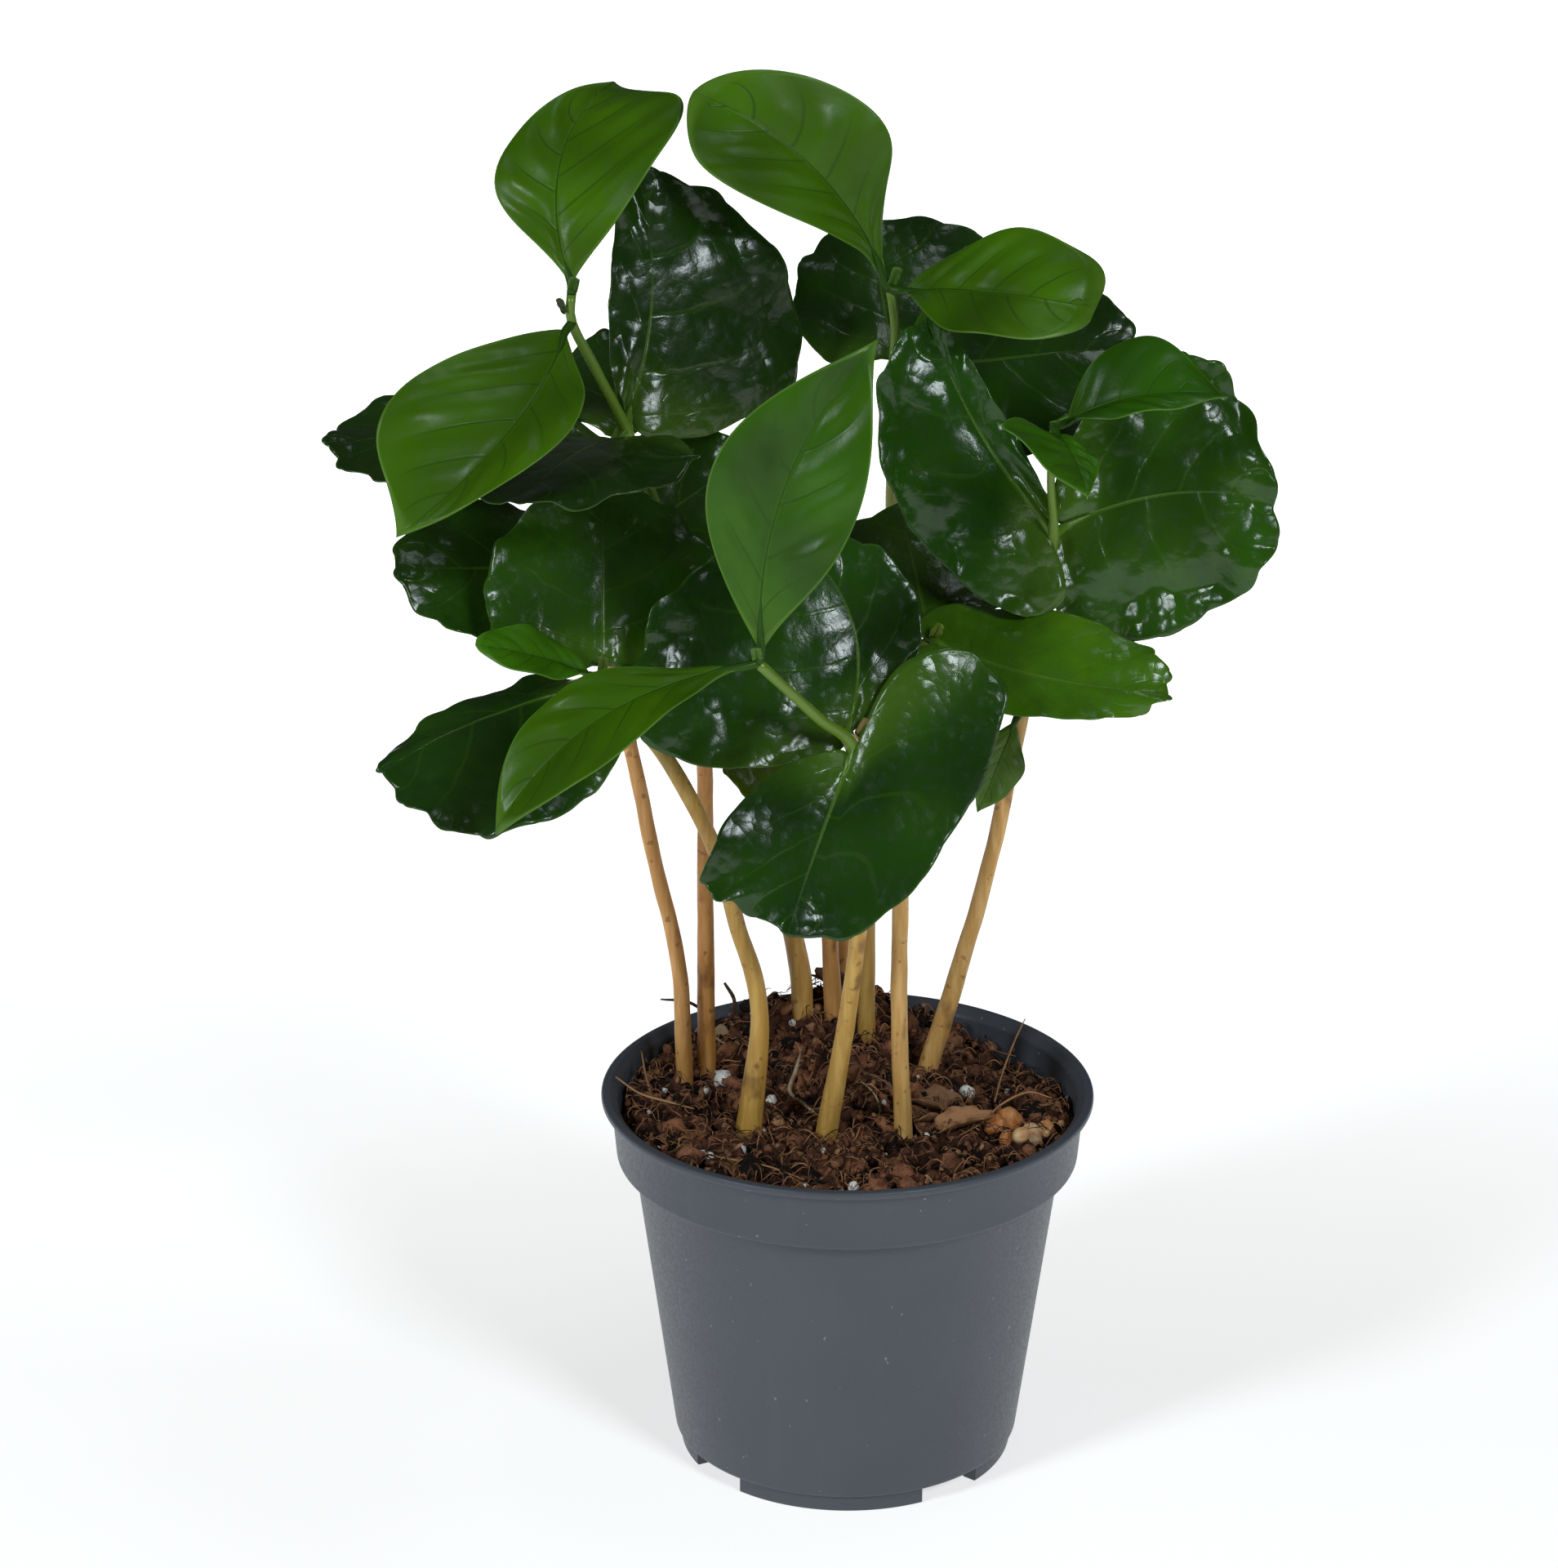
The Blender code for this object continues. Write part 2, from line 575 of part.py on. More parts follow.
def bent_blade(x, y, share, lift, leaf, length):
    """The flat blade cupped and folded across its width, bowed sideways, and then bent along its midrib."""
    curve = -math.radians(leaf["cup"]) / (leaf["width"] / 2)
    if leaf["cup"]:
        across = np.sin(curve * x) / curve - np.sin(curve * x) * lift
        height = (1 - np.cos(curve * x)) / curve + np.cos(curve * x) * lift
    else:
        across, height = x, lift
    fold = math.radians(leaf["fold"])
    height = height + math.sin(fold) * (np.sqrt(across * across + 1) - 1)
    across = across * math.cos(fold) + leaf["sway"] * 4 * share * (1 - share)
    along, forward, drop, angle = spine_of(leaf["bend"])
    reach = y / length
    turned = np.interp(reach, along, angle)
    before = np.minimum(reach, 0)
    beyond = np.maximum(reach - 1, 0)
    y = np.interp(reach, along, forward) + before + beyond * math.cos(angle[-1])
    z = np.interp(reach, along, drop) - beyond * math.sin(angle[-1])
    y = y * length + height * np.sin(turned)
    z = z * length + height * np.cos(turned)
    chord_angle = math.atan2(drop[-1], forward[-1])
    return (
        across,
        y * math.cos(chord_angle) + z * math.sin(chord_angle),
        z * math.cos(chord_angle) - y * math.sin(chord_angle),
    )


def leaf_base(leaf):
    """The foot of the leaf's stalk: just off the stem's side, or over its end if the leaf rises there."""
    stem = STEMS[leaf["stem"]]
    route = [Vector(point) for point in stem["route"]]
    last = len(route) - 1
    point = route[leaf["at"]]
    away = (Vector(leaf["tip"]) - point).normalized()
    rise = 0
    if leaf["at"] == last:
        rise = max(0, away.dot((route[last] - route[last - 1]).normalized()))
    reach = stem_radius(stem, leaf["at"] / last) * (1 - rise) + STALK_GAP
    return point + away * reach + Vector(leaf["shift"])


def leaf_points(a, b, leaf):
    """The blade's middle surface for a and b from -1 to 1, b running from the stalk to the tip."""
    base = leaf_base(leaf)
    tip = Vector(leaf["tip"])
    _, forward, drop, _ = spine_of(leaf["bend"])
    length = (tip - base).length / math.hypot(forward[-1], drop[-1])
    across, along, up = bent_blade(*flat_blade(a, b, leaf, length), leaf, length)
    y_axis = (tip - base).normalized()
    face = Vector(leaf["face"])
    z_axis = (face - face.dot(y_axis) * y_axis).normalized()
    x_axis = y_axis.cross(z_axis)
    axes = np.array((x_axis, y_axis, z_axis))
    return np.array(base) + np.stack((across, along, up), axis=-1) @ axes


def make_leaf(name, leaf, parts, material):
    bm = bmesh.new()
    bmesh.ops.create_grid(bm, x_segments=BLADE_CELLS, y_segments=BLADE_CELLS, size=1)
    flat = np.array([vert.co for vert in bm.verts])
    placed = leaf_points(flat[:, 0], flat[:, 1], leaf)
    for vert, place in zip(bm.verts, placed):
        vert.co = Vector(place) * MM
    bmesh.ops.triangulate(bm, faces=bm.faces[:], quad_method="SHORT_EDGE")
    blade = add_object(name, mesh_of(bm, name), parts, material)
    thick = blade.modifiers.new("Thickness", "SOLIDIFY")
    thick.thickness = BLADE_THICKNESS * MM
    thick.offset = 0


def main():
    clear_scene()
    materials = make_materials()
    parts = make_collection("potted_coffee_plant")
    pot_cutters = make_collection("pot_cutters")
    soil_cutters = make_collection("soil_cutters")
    add_pot_cutters(pot_cutters)
    make_pot(parts, pot_cutters, materials["pot_plastic"])
    for letter, entry in STEMS.items():
        make_stem(f"stem_{letter}", entry, parts, materials["stem"])
        add_stem_hole(f"hole_{letter}", entry, soil_cutters)
    make_soil(parts, soil_cutters, materials["soil"])
    for number, (name, own) in enumerate(LEAVES.items()):
        kind = TRUE_LEAF if name.startswith("true") else SEED_LEAF
        leaf = {**kind, "phase": 1.7 * number, **own}
        make_leaf(name, leaf, parts, materials["true_leaf" if leaf["pointed"] else "seed_leaf"])


main()
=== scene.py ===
import math
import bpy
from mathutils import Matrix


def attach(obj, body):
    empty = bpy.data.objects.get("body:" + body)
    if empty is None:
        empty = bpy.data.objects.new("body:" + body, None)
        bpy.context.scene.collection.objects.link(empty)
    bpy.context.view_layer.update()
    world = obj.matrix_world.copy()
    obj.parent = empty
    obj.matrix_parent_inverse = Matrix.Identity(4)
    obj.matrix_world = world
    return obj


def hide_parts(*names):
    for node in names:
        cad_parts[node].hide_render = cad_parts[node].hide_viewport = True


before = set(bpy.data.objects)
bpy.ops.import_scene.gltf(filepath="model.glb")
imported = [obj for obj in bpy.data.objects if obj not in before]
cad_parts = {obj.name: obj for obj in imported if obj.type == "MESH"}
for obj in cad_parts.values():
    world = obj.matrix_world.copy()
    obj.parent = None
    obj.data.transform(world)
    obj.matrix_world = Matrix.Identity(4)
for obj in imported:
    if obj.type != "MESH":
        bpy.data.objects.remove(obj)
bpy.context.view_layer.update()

from types import SimpleNamespace

import bmesh
import bpy
import numpy as np
from mathutils import Vector

print("frame loaded:", len(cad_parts), "CAD nodes")

mm = 0.001  # the values below are millimetres and degrees


# Shared tools. A shape is a dictionary: its points, its four-sided and three-sided faces, and its values,
# which are given for every point.


def gridFaces(rows, columns, closed=False):
    # Each face joins a point to its next in the row and to the two above them
    row = np.arange(rows - 1)[:, None] * columns
    column = np.arange(columns if closed else columns - 1)[None, :]
    after = (column + 1) % columns
    corners = (row + column, row + after, row + columns + after, row + columns + column)
    return np.stack(corners, axis=-1).reshape(-1, 4)


def squareEdge(rows, columns):
    # The numbers of the points around the edge of a grid, in order
    number = np.arange(rows * columns).reshape(rows, columns)
    return np.concatenate([number[0, :-1], number[:-1, -1], number[-1, :0:-1], number[:0:-1, 0]])


def skinFaces(rows, columns):
    # The faces of two grids of points, the second turned over, joined by a wall around the edge
    count = rows * columns
    faces, edge = gridFaces(rows, columns), squareEdge(rows, columns)
    after = np.roll(edge, -1)
    wall = np.stack((edge, edge + count, after + count, after), axis=-1)
    return np.concatenate([faces, faces[:, ::-1] + count, wall])


def asShape(points, quads=None, tris=None, **values):
    # A grid of points as one list, with the faces and values that belong to it
    none = np.zeros((0, 4), int)
    return dict(
        points=np.asarray(points, float).reshape(-1, 3),
        quads=none if quads is None else quads,
        tris=none[:, :3] if tris is None else tris,
        values=values,
    )


def joined(shapes):
    # Points end to end; each shape's face numbers move up by the number of points before it
    start = np.cumsum([0] + [len(shape["points"]) for shape in shapes[:-1]])
    together = dict(points=np.concatenate([shape["points"] for shape in shapes]))
    for kind in ("quads", "tris"):
        together[kind] = np.concatenate([shape[kind] + first for shape, first in zip(shapes, start)])
    names = shapes[0]["values"]
    together["values"] = {name: np.concatenate([shape["values"][name] for shape in shapes]) for name in names}
    return together


def place(name, shape, material, nodes=()):
    # A mesh of the shape with its values as attributes, on the root body and in place of the CAD nodes named
    kinds = {1: ("FLOAT", "value"), 3: ("FLOAT_VECTOR", "vector"), 4: ("FLOAT_COLOR", "color")}
    mesh = bpy.data.meshes.new(name)
    mesh.from_pydata(shape["points"] * mm, [], shape["quads"].tolist() + shape["tris"].tolist())
    for key, value in shape["values"].items():
        kind, field = kinds[value.shape[1] if value.ndim > 1 else 1]
        mesh.attributes.new(key, kind, "POINT").data.foreach_set(field, value.astype(np.float32).ravel())
    mesh.shade_smooth()
    mesh.materials.append(material)
    piece = bpy.data.objects.new(name, mesh)
    bpy.context.scene.collection.objects.link(piece)
    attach(piece, "root")
    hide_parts(*nodes)
    return piece


def unit(vectors):
    # Each vector over its own length
    return vectors / np.maximum(np.linalg.norm(vectors, axis=-1, keepdims=True), 1e-9)


def curveThrough(route, every):
    # Catmull-Rom: a cubic between two points, whose slope at each is half the step between its neighbours
    points = np.array(route, float)
    points = np.concatenate([[2 * points[0] - points[1]], points, [2 * points[-1] - points[-2]]])
    found = []
    for before, start, end, after in zip(points, points[1:], points[2:], points[3:]):
        t = np.arange(max(1, round(np.linalg.norm(end - start) / every)))[:, None]
        t = t / len(t)
        squared, cubed = 2 * before - 5 * start + 4 * end - after, 3 * start - before - 3 * end + after
        found.append(0.5 * (2 * start + (end - before) * t + (squared * t**2 + cubed * t**3)))
    return np.concatenate([*found, points[-2:-1]])


def tube(path, radii, sides):
    # Point = path + radius * (cos turn * across + sin turn * up), both axes square to the path; a pole closes
    # each end
    path = np.asarray(path, float)
    radii = np.broadcast_to(np.asarray(radii, float).T, (sides, len(path))).T
    along = unit(np.gradient(path, axis=0))
    spare = np.eye(3)[np.argmin(np.abs(path[-1] - path[0]))]
    across = unit(np.cross(along, spare))
    up = np.cross(along, across)
    turn = np.arange(sides) * 2 * math.pi / sides
    ring = np.cos(turn)[None, :, None] * across[:, None] + np.sin(turn)[None, :, None] * up[:, None]
    rings = path[:, None] + radii[..., None] * ring
    count = len(path) * sides
    around = np.arange(sides)
    after = (around + 1) % sides
    last = count - sides
    start = np.stack((after, around, np.full(sides, count)), axis=-1)
    end = np.stack((last + around, last + after, np.full(sides, count + 1)), axis=-1)
    points = np.concatenate([rings.reshape(-1, 3), path[:1], path[-1:]])
    return asShape(points, gridFaces(len(path), sides, closed=True), np.concatenate([start, end]))


def ripple(x, y, seed, count, shortest, longest):
    # Smooth random relief of about -1 to 1: the sum of waves with random ways, lengths and phases
    rng = np.random.default_rng(seed)
    way = rng.uniform(0, 2 * math.pi, count)
    pace = 2 * math.pi / rng.uniform(shortest, longest, count)
    late = rng.uniform(0, 2 * math.pi, count)
    wave = np.sin((x[..., None] * np.cos(way) + y[..., None] * np.sin(way)) * pace + late)
    return wave.sum(axis=-1) * math.sqrt(2 / count) * 0.6


def shadeNode(tree, kind, feeds=None, **settings):
    # One shader node; feeds gives a socket its value, or the socket that drives it
    made = tree.nodes.new(kind)
    for name, value in settings.items():
        setattr(made, name, value)
    for key, value in (feeds or {}).items():
        if isinstance(value, bpy.types.NodeSocket):
            tree.links.new(value, made.inputs[key])
        else:
            made.inputs[key].default_value = value
    return made


def maths(tree, operation, *values):
    # The result of one operation on numbers or sockets
    return shadeNode(tree, "ShaderNodeMath", dict(enumerate(values)), operation=operation).outputs[0]


def smoothStep(tree, value, low, high, lowest=0.0, highest=1.0):
    # An S-shaped rise from lowest to highest while the value goes from low to high
    feeds = {"Value": value, "From Min": low, "From Max": high, "To Min": lowest, "To Max": highest}
    return shadeNode(tree, "ShaderNodeMapRange", feeds, interpolation_type="SMOOTHSTEP").outputs[0]


def mixed(tree, share, first, second, blend="MIX"):
    # The first colour with a share of the second laid over it
    made = shadeNode(tree, "ShaderNodeMix", data_type="RGBA", blend_type=blend)
    for number, value in ((0, share), (6, first), (7, second)):
        if isinstance(value, bpy.types.NodeSocket):
            tree.links.new(value, made.inputs[number])
        else:
            made.inputs[number].default_value = value if number == 0 else (*value, 1)
    return made.outputs[2]


def noise(tree, scale, detail=3.0, stretch=(1, 1, 1)):
    # Grain fixed to the object; scale counts grains in a metre
    spot = shadeNode(tree, "ShaderNodeTexCoord").outputs["Object"]
    spot = shadeNode(tree, "ShaderNodeMapping", {"Vector": spot, "Scale": stretch}).outputs[0]
    feeds = {"Vector": spot, "Scale": scale, "Detail": detail}
    return shadeNode(tree, "ShaderNodeTexNoise", feeds).outputs[0]


def pebbles(tree, scale):
    # Distance to the nearest of many scattered points, fixed to the object
    spot = shadeNode(tree, "ShaderNodeTexCoord").outputs["Object"]
    feeds = {"Vector": spot, "Scale": scale}
    return shadeNode(tree, "ShaderNodeTexVoronoi", feeds, feature="F1").outputs["Distance"]


def attribute(tree, name, output):
    # A value that the mesh holds for every point
    return shadeNode(tree, "ShaderNodeAttribute", attribute_name=name).outputs[output]


def newMaterial(name, roughness, specular=0.5):
    # A material with its node tree and shader
    material = bpy.data.materials.new(name)
    material.use_nodes = True
    shader = material.node_tree.nodes["Principled BSDF"]
    shader.inputs["Roughness"].default_value = roughness
    shader.inputs["Specular IOR Level"].default_value = specular
    return material, material.node_tree, shader


def raised(tree, shader, height, depth, strength):
    # Relief too fine for the mesh; depth is its height in mm
    bump = shadeNode(tree, "ShaderNodeBump", {"Height": height, "Distance": depth * mm, "Strength": strength})
    tree.links.new(bump.outputs[0], shader.inputs["Normal"])


# Camera, floor and light

studio = dict(
    cameraPlace=(-0.0125, -0.728, 0.399),
    lookDown=20.3,
    lens=100,
    floorSize=40.0,
    floorColour=(0.90, 0.87, 0.84),
    floorGlow=0.57,
    skyStrength=0.06,
    lightColour=(0.86, 0.945, 1.0),
    # each soft box: its place, what it points at, its width and height, its power in watts
    boxes={
        "leftBox": ((-1.16, -1.02, 0.95), (0, 0, 0.13), (0.3, 0.5), 12),
        "rightBox": ((0.7, -1.08, 0.95), (0, 0, 0.13), (0.34, 0.34), 9),
        "topBox": ((0.3, 0.1, 1.45), (0, 0, 0.13), (0.4, 0.3), 1.2),
        "floorWash": ((0.0, 0.5, 0.9), (0, 2.2, 0), (2.4, 0.3), 24),
    },
)


def setStage():
    # The photo's camera, a pale floor, soft boxes and a dim white sky
    scene = bpy.context.scene
    camera = bpy.data.objects.new("camera", bpy.data.cameras.new("camera"))
    camera.data.lens = studio["lens"]
    camera.data.sensor_width, camera.data.sensor_fit = 36, "AUTO"
    camera.data.clip_start, camera.data.clip_end = 0.01, 60
    camera.location = studio["cameraPlace"]
    camera.rotation_euler = (math.radians(90 - studio["lookDown"]), 0, 0)
    scene.collection.objects.link(camera)
    scene.camera = camera

    half = studio["floorSize"] / 2
    corners = [(-half, -half, 0), (half, -half, 0), (half, half, 0), (-half, half, 0)]
    mesh = bpy.data.meshes.new("floor")
    mesh.from_pydata(corners, [], [(0, 1, 2, 3)])
    floor = bpy.data.objects.new("floor", mesh)
    material, _, shader = newMaterial("paleFloor", 0.9, 0.1)
    shader.inputs["Base Color"].default_value = (*studio["floorColour"], 1)
    shader.inputs["Emission Color"].default_value = (1, 1, 1, 1)
    shader.inputs["Emission Strength"].default_value = studio["floorGlow"]
    mesh.materials.append(material)
    scene.collection.objects.link(floor)

    for name, (spot, aim, size, power) in studio["boxes"].items():
        light = bpy.data.lights.new(name, "AREA")
        light.shape = "RECTANGLE"
        light.size, light.size_y = size
        light.energy = power
        light.color = studio["lightColour"]
        lamp = bpy.data.objects.new(name, light)
        lamp.location = spot
        lamp.rotation_euler = (Vector(aim) - Vector(spot)).to_track_quat("-Z", "Y").to_euler()
        scene.collection.objects.link(lamp)
    world = bpy.data.worlds.new("studio")
    world.use_nodes = True
    sky = world.node_tree.nodes["Background"]
    sky.inputs[0].default_value = (1, 1, 1, 1)
    sky.inputs[1].default_value = studio["skyStrength"]
    scene.world = world
    scene.view_settings.view_transform = "Standard"
    print("stage set")


setStage()


# Stems. Each route runs from the soil's surface up. Point number node carries the seed leaves, and the radii
# hold at the soil, a quarter of the way up, at the node and at the end. A tone tints the bark.

stemTable = {
    "a": dict(
        node=4, radii=(2, 1.5, 1.4, 1.2), tone=(0.9, 0.92, 0.7),
        route=[
            (-4, -13, 67), (0, -16, 94), (2, -21, 119), (1, -25, 136), (0, -28, 147), (-6, -33, 154),
            (-16, -40, 166),
        ],
    ),
    "b": dict(
        node=6, radii=(1.7, 1.5, 1.3, 1.1), tone=(1, 0.82, 0.72),
        route=[
            (-26, 15, 68), (-26, 15, 86), (-26, 13, 106), (-26, 10, 131), (-28, 5, 156), (-33, 3, 177),
            (-39, 3, 194), (-44, 2, 205), (-48, 0, 214), (-48, 0, 219),
        ],
    ),
    "c": dict(
        node=5, radii=(2.2, 1.6, 1.3, 1.3), tone=(0.8, 0.78, 0.6),
        route=[(-8, 29, 72), (-9, 30, 84), (-16, 30, 112), (-27, 29, 144), (-37, 26, 170), (-42, 23, 186)],
    ),
    "d": dict(
        node=6, radii=(2.4, 1.6, 1.3, 1.3), tone=(0.86, 0.86, 0.55),
        route=[
            (-18, -11, 67), (-16, -10, 90), (-20, -10, 107), (-24, -11, 122), (-32, -13, 139),
            (-39, -15, 149), (-43, -17, 156),
        ],
    ),
    "e": dict(
        node=5, radii=(1.7, 1.5, 1.3, 1.1), tone=(0.72, 0.72, 0.5),
        route=[
            (4, 25, 71), (4, 27, 92), (5, 31, 128), (8, 31, 160), (8, 29, 176), (8, 25, 199),
            (8, 22, 208), (7, 20, 215),
        ],
    ),
    "f": dict(
        node=5, radii=(1.9, 1.5, 1.3, 0.8),
        route=[
            (15, 13, 68), (20, 13, 86), (26, 11, 111), (31, 6, 142), (34, 0, 163), (35, -6, 178),
            (34, -11, 189), (34, -15, 200),
        ],
    ),
    "g": dict(
        node=5, radii=(1.7, 1.5, 1.4, 1.4),
        route=[(10, -12, 67), (9, -12, 89), (9, -11, 112), (9, -10, 133), (12, -8, 149), (14, -8, 159)],
    ),
    "h": dict(
        node=5, radii=(1.6, 1.4, 1.3, 1.3), tone=(1.12, 0.98, 0.95),
        route=[(-30, 11, 68), (-31, 12, 90), (-35, 11, 110), (-39, 10, 132), (-43, 9, 151), (-46, 7, 168)],
    ),
    "j": dict(
        node=3, radii=(2, 1.5, 1.3, 1.3), tone=(0.8, 0.66, 0.6),
        route=[(-2, 28, 71), (-3, 27, 89), (-4, 20, 116), (-4, 13, 134)],
    ),
    "k": dict(
        node=5, radii=(1.6, 1.4, 1.1, 1.1), tone=(0.8, 0.66, 0.6),
        route=[(0, 38, 73), (0, 40, 83), (2, 46, 114), (6, 46, 142), (8, 44, 156), (9, 44, 162)],
    ),
}

stemLook = dict(
    sides=18,
    every=1.6,  # between rings
    depth=12.0,  # how far a stem goes on below the soil's surface
    knuckle=1.28,  # how much thicker a node is than the stem beside it
    knuckleReach=2.2,
    thinning=0.24,  # how much thinner the shoot above a node is than a solid rod must be
    uneven=0.04,
    bark=(0.53, 0.285, 0.072),
    barkPale=(0.68, 0.41, 0.14),
    barkDark=(0.20, 0.085, 0.026),
    young=(0.20, 0.20, 0.03),
    green=(0.105, 0.19, 0.012),
)


def stemRadius(entry, share):
    # Straight lines between the four radii
    nodeShare = entry["node"] / (len(entry["route"]) - 1)
    return np.interp(share, (0, 0.25, nodeShare, 1), entry["radii"])


def makeStemMaterial():
    # Rise is 0 at the soil, 1 at the node and 2 at the tip; bark turns olive below the node and green above
    material, tree, shader = newMaterial("stemBark", 0.42)
    rise = attribute(tree, "rise", "Fac")
    streaks = noise(tree, 900, 4, (1, 1, 0.12))
    patches = noise(tree, 160, 3, (1, 1, 0.6))
    bark = mixed(tree, smoothStep(tree, streaks, 0.35, 0.7), stemLook["bark"], stemLook["barkPale"])
    bark = mixed(tree, smoothStep(tree, patches, 0.56, 0.68, 0, 0.75), bark, stemLook["barkDark"])
    spots = noise(tree, 520, 2)
    bark = mixed(tree, smoothStep(tree, spots, 0.64, 0.70, 0, 0.6), bark, stemLook["barkDark"])
    bark = mixed(tree, 1.0, bark, attribute(tree, "tone", "Color"), "MULTIPLY")
    wavering = maths(tree, "ADD", rise, maths(tree, "MULTIPLY", patches, 0.25))
    colour = mixed(tree, smoothStep(tree, wavering, 0.75, 1.1), bark, stemLook["young"])
    colour = mixed(tree, smoothStep(tree, wavering, 1.08, 1.3), colour, stemLook["green"])
    tree.links.new(colour, shader.inputs["Base Color"])
    tree.links.new(smoothStep(tree, rise, 0.8, 1.2, 0.5, 0.3), shader.inputs["Roughness"])
    raised(tree, shader, streaks, 0.08, 0.5)
    return material


def makeStems():
    # A tube on each route: radius * (1 + swelling * exp(-(distance from node / reach)^2)), thinned above
    look, material = stemLook, makeStemMaterial()
    turn = np.arange(look["sides"]) * 2 * math.pi / look["sides"]
    for letter, entry in stemTable.items():
        path = curveThrough(entry["route"], look["every"])
        nodeShare = entry["node"] / (len(entry["route"]) - 1)
        share = np.linspace(0, 1, len(path))
        far = np.linalg.norm(path - np.array(entry["route"][entry["node"]]), axis=1)
        swollen = 1 + (look["knuckle"] - 1) * np.exp(-((far / look["knuckleReach"]) ** 2))
        beyond = (share - nodeShare) / max(1 - nodeShare, 0.01)
        above = np.clip(beyond * 4, 0, 1)
        radii = stemRadius(entry, share) * swollen * (1 - look["thinning"] * above)
        rise = np.where(share < nodeShare, share / nodeShare, 1 + beyond)
        path = np.concatenate([[path[0] + unit(path[0] - path[1]) * look["depth"]], path])
        radii = np.concatenate([radii[:1], radii])
        rise = np.repeat(np.concatenate([[0], rise]), look["sides"])
        along = np.arange(len(path))[:, None] * 0.6
        rough = 1 + look["uneven"] * ripple(turn[None, :] * 2, along, ord(letter), 10, 2, 7)
        shape = tube(path, radii[:, None] * rough, look["sides"])
        shape["values"]["rise"] = np.concatenate([rise, rise[:1], rise[-1:]])
        shape["values"]["tone"] = np.tile([*entry.get("tone", (1, 1, 1)), 1.0], (len(shape["points"]), 1))
        place("stem" + letter.upper(), shape, material, ["stem_" + letter])
    print("stems made:", len(stemTable))


# Leaves. Tip is where a leaf's tip lies, and face is the way its upper side looks. Seed leaves grow from the
# node of their stem and true leaves from its end, or else from route point at. Cup, fold and bend are curves
# in degrees, close and lobe how far the base corners close in and reach back, and shift moves the foot. Some
# lobes lap over their stem, closer than two solid blades could lie.

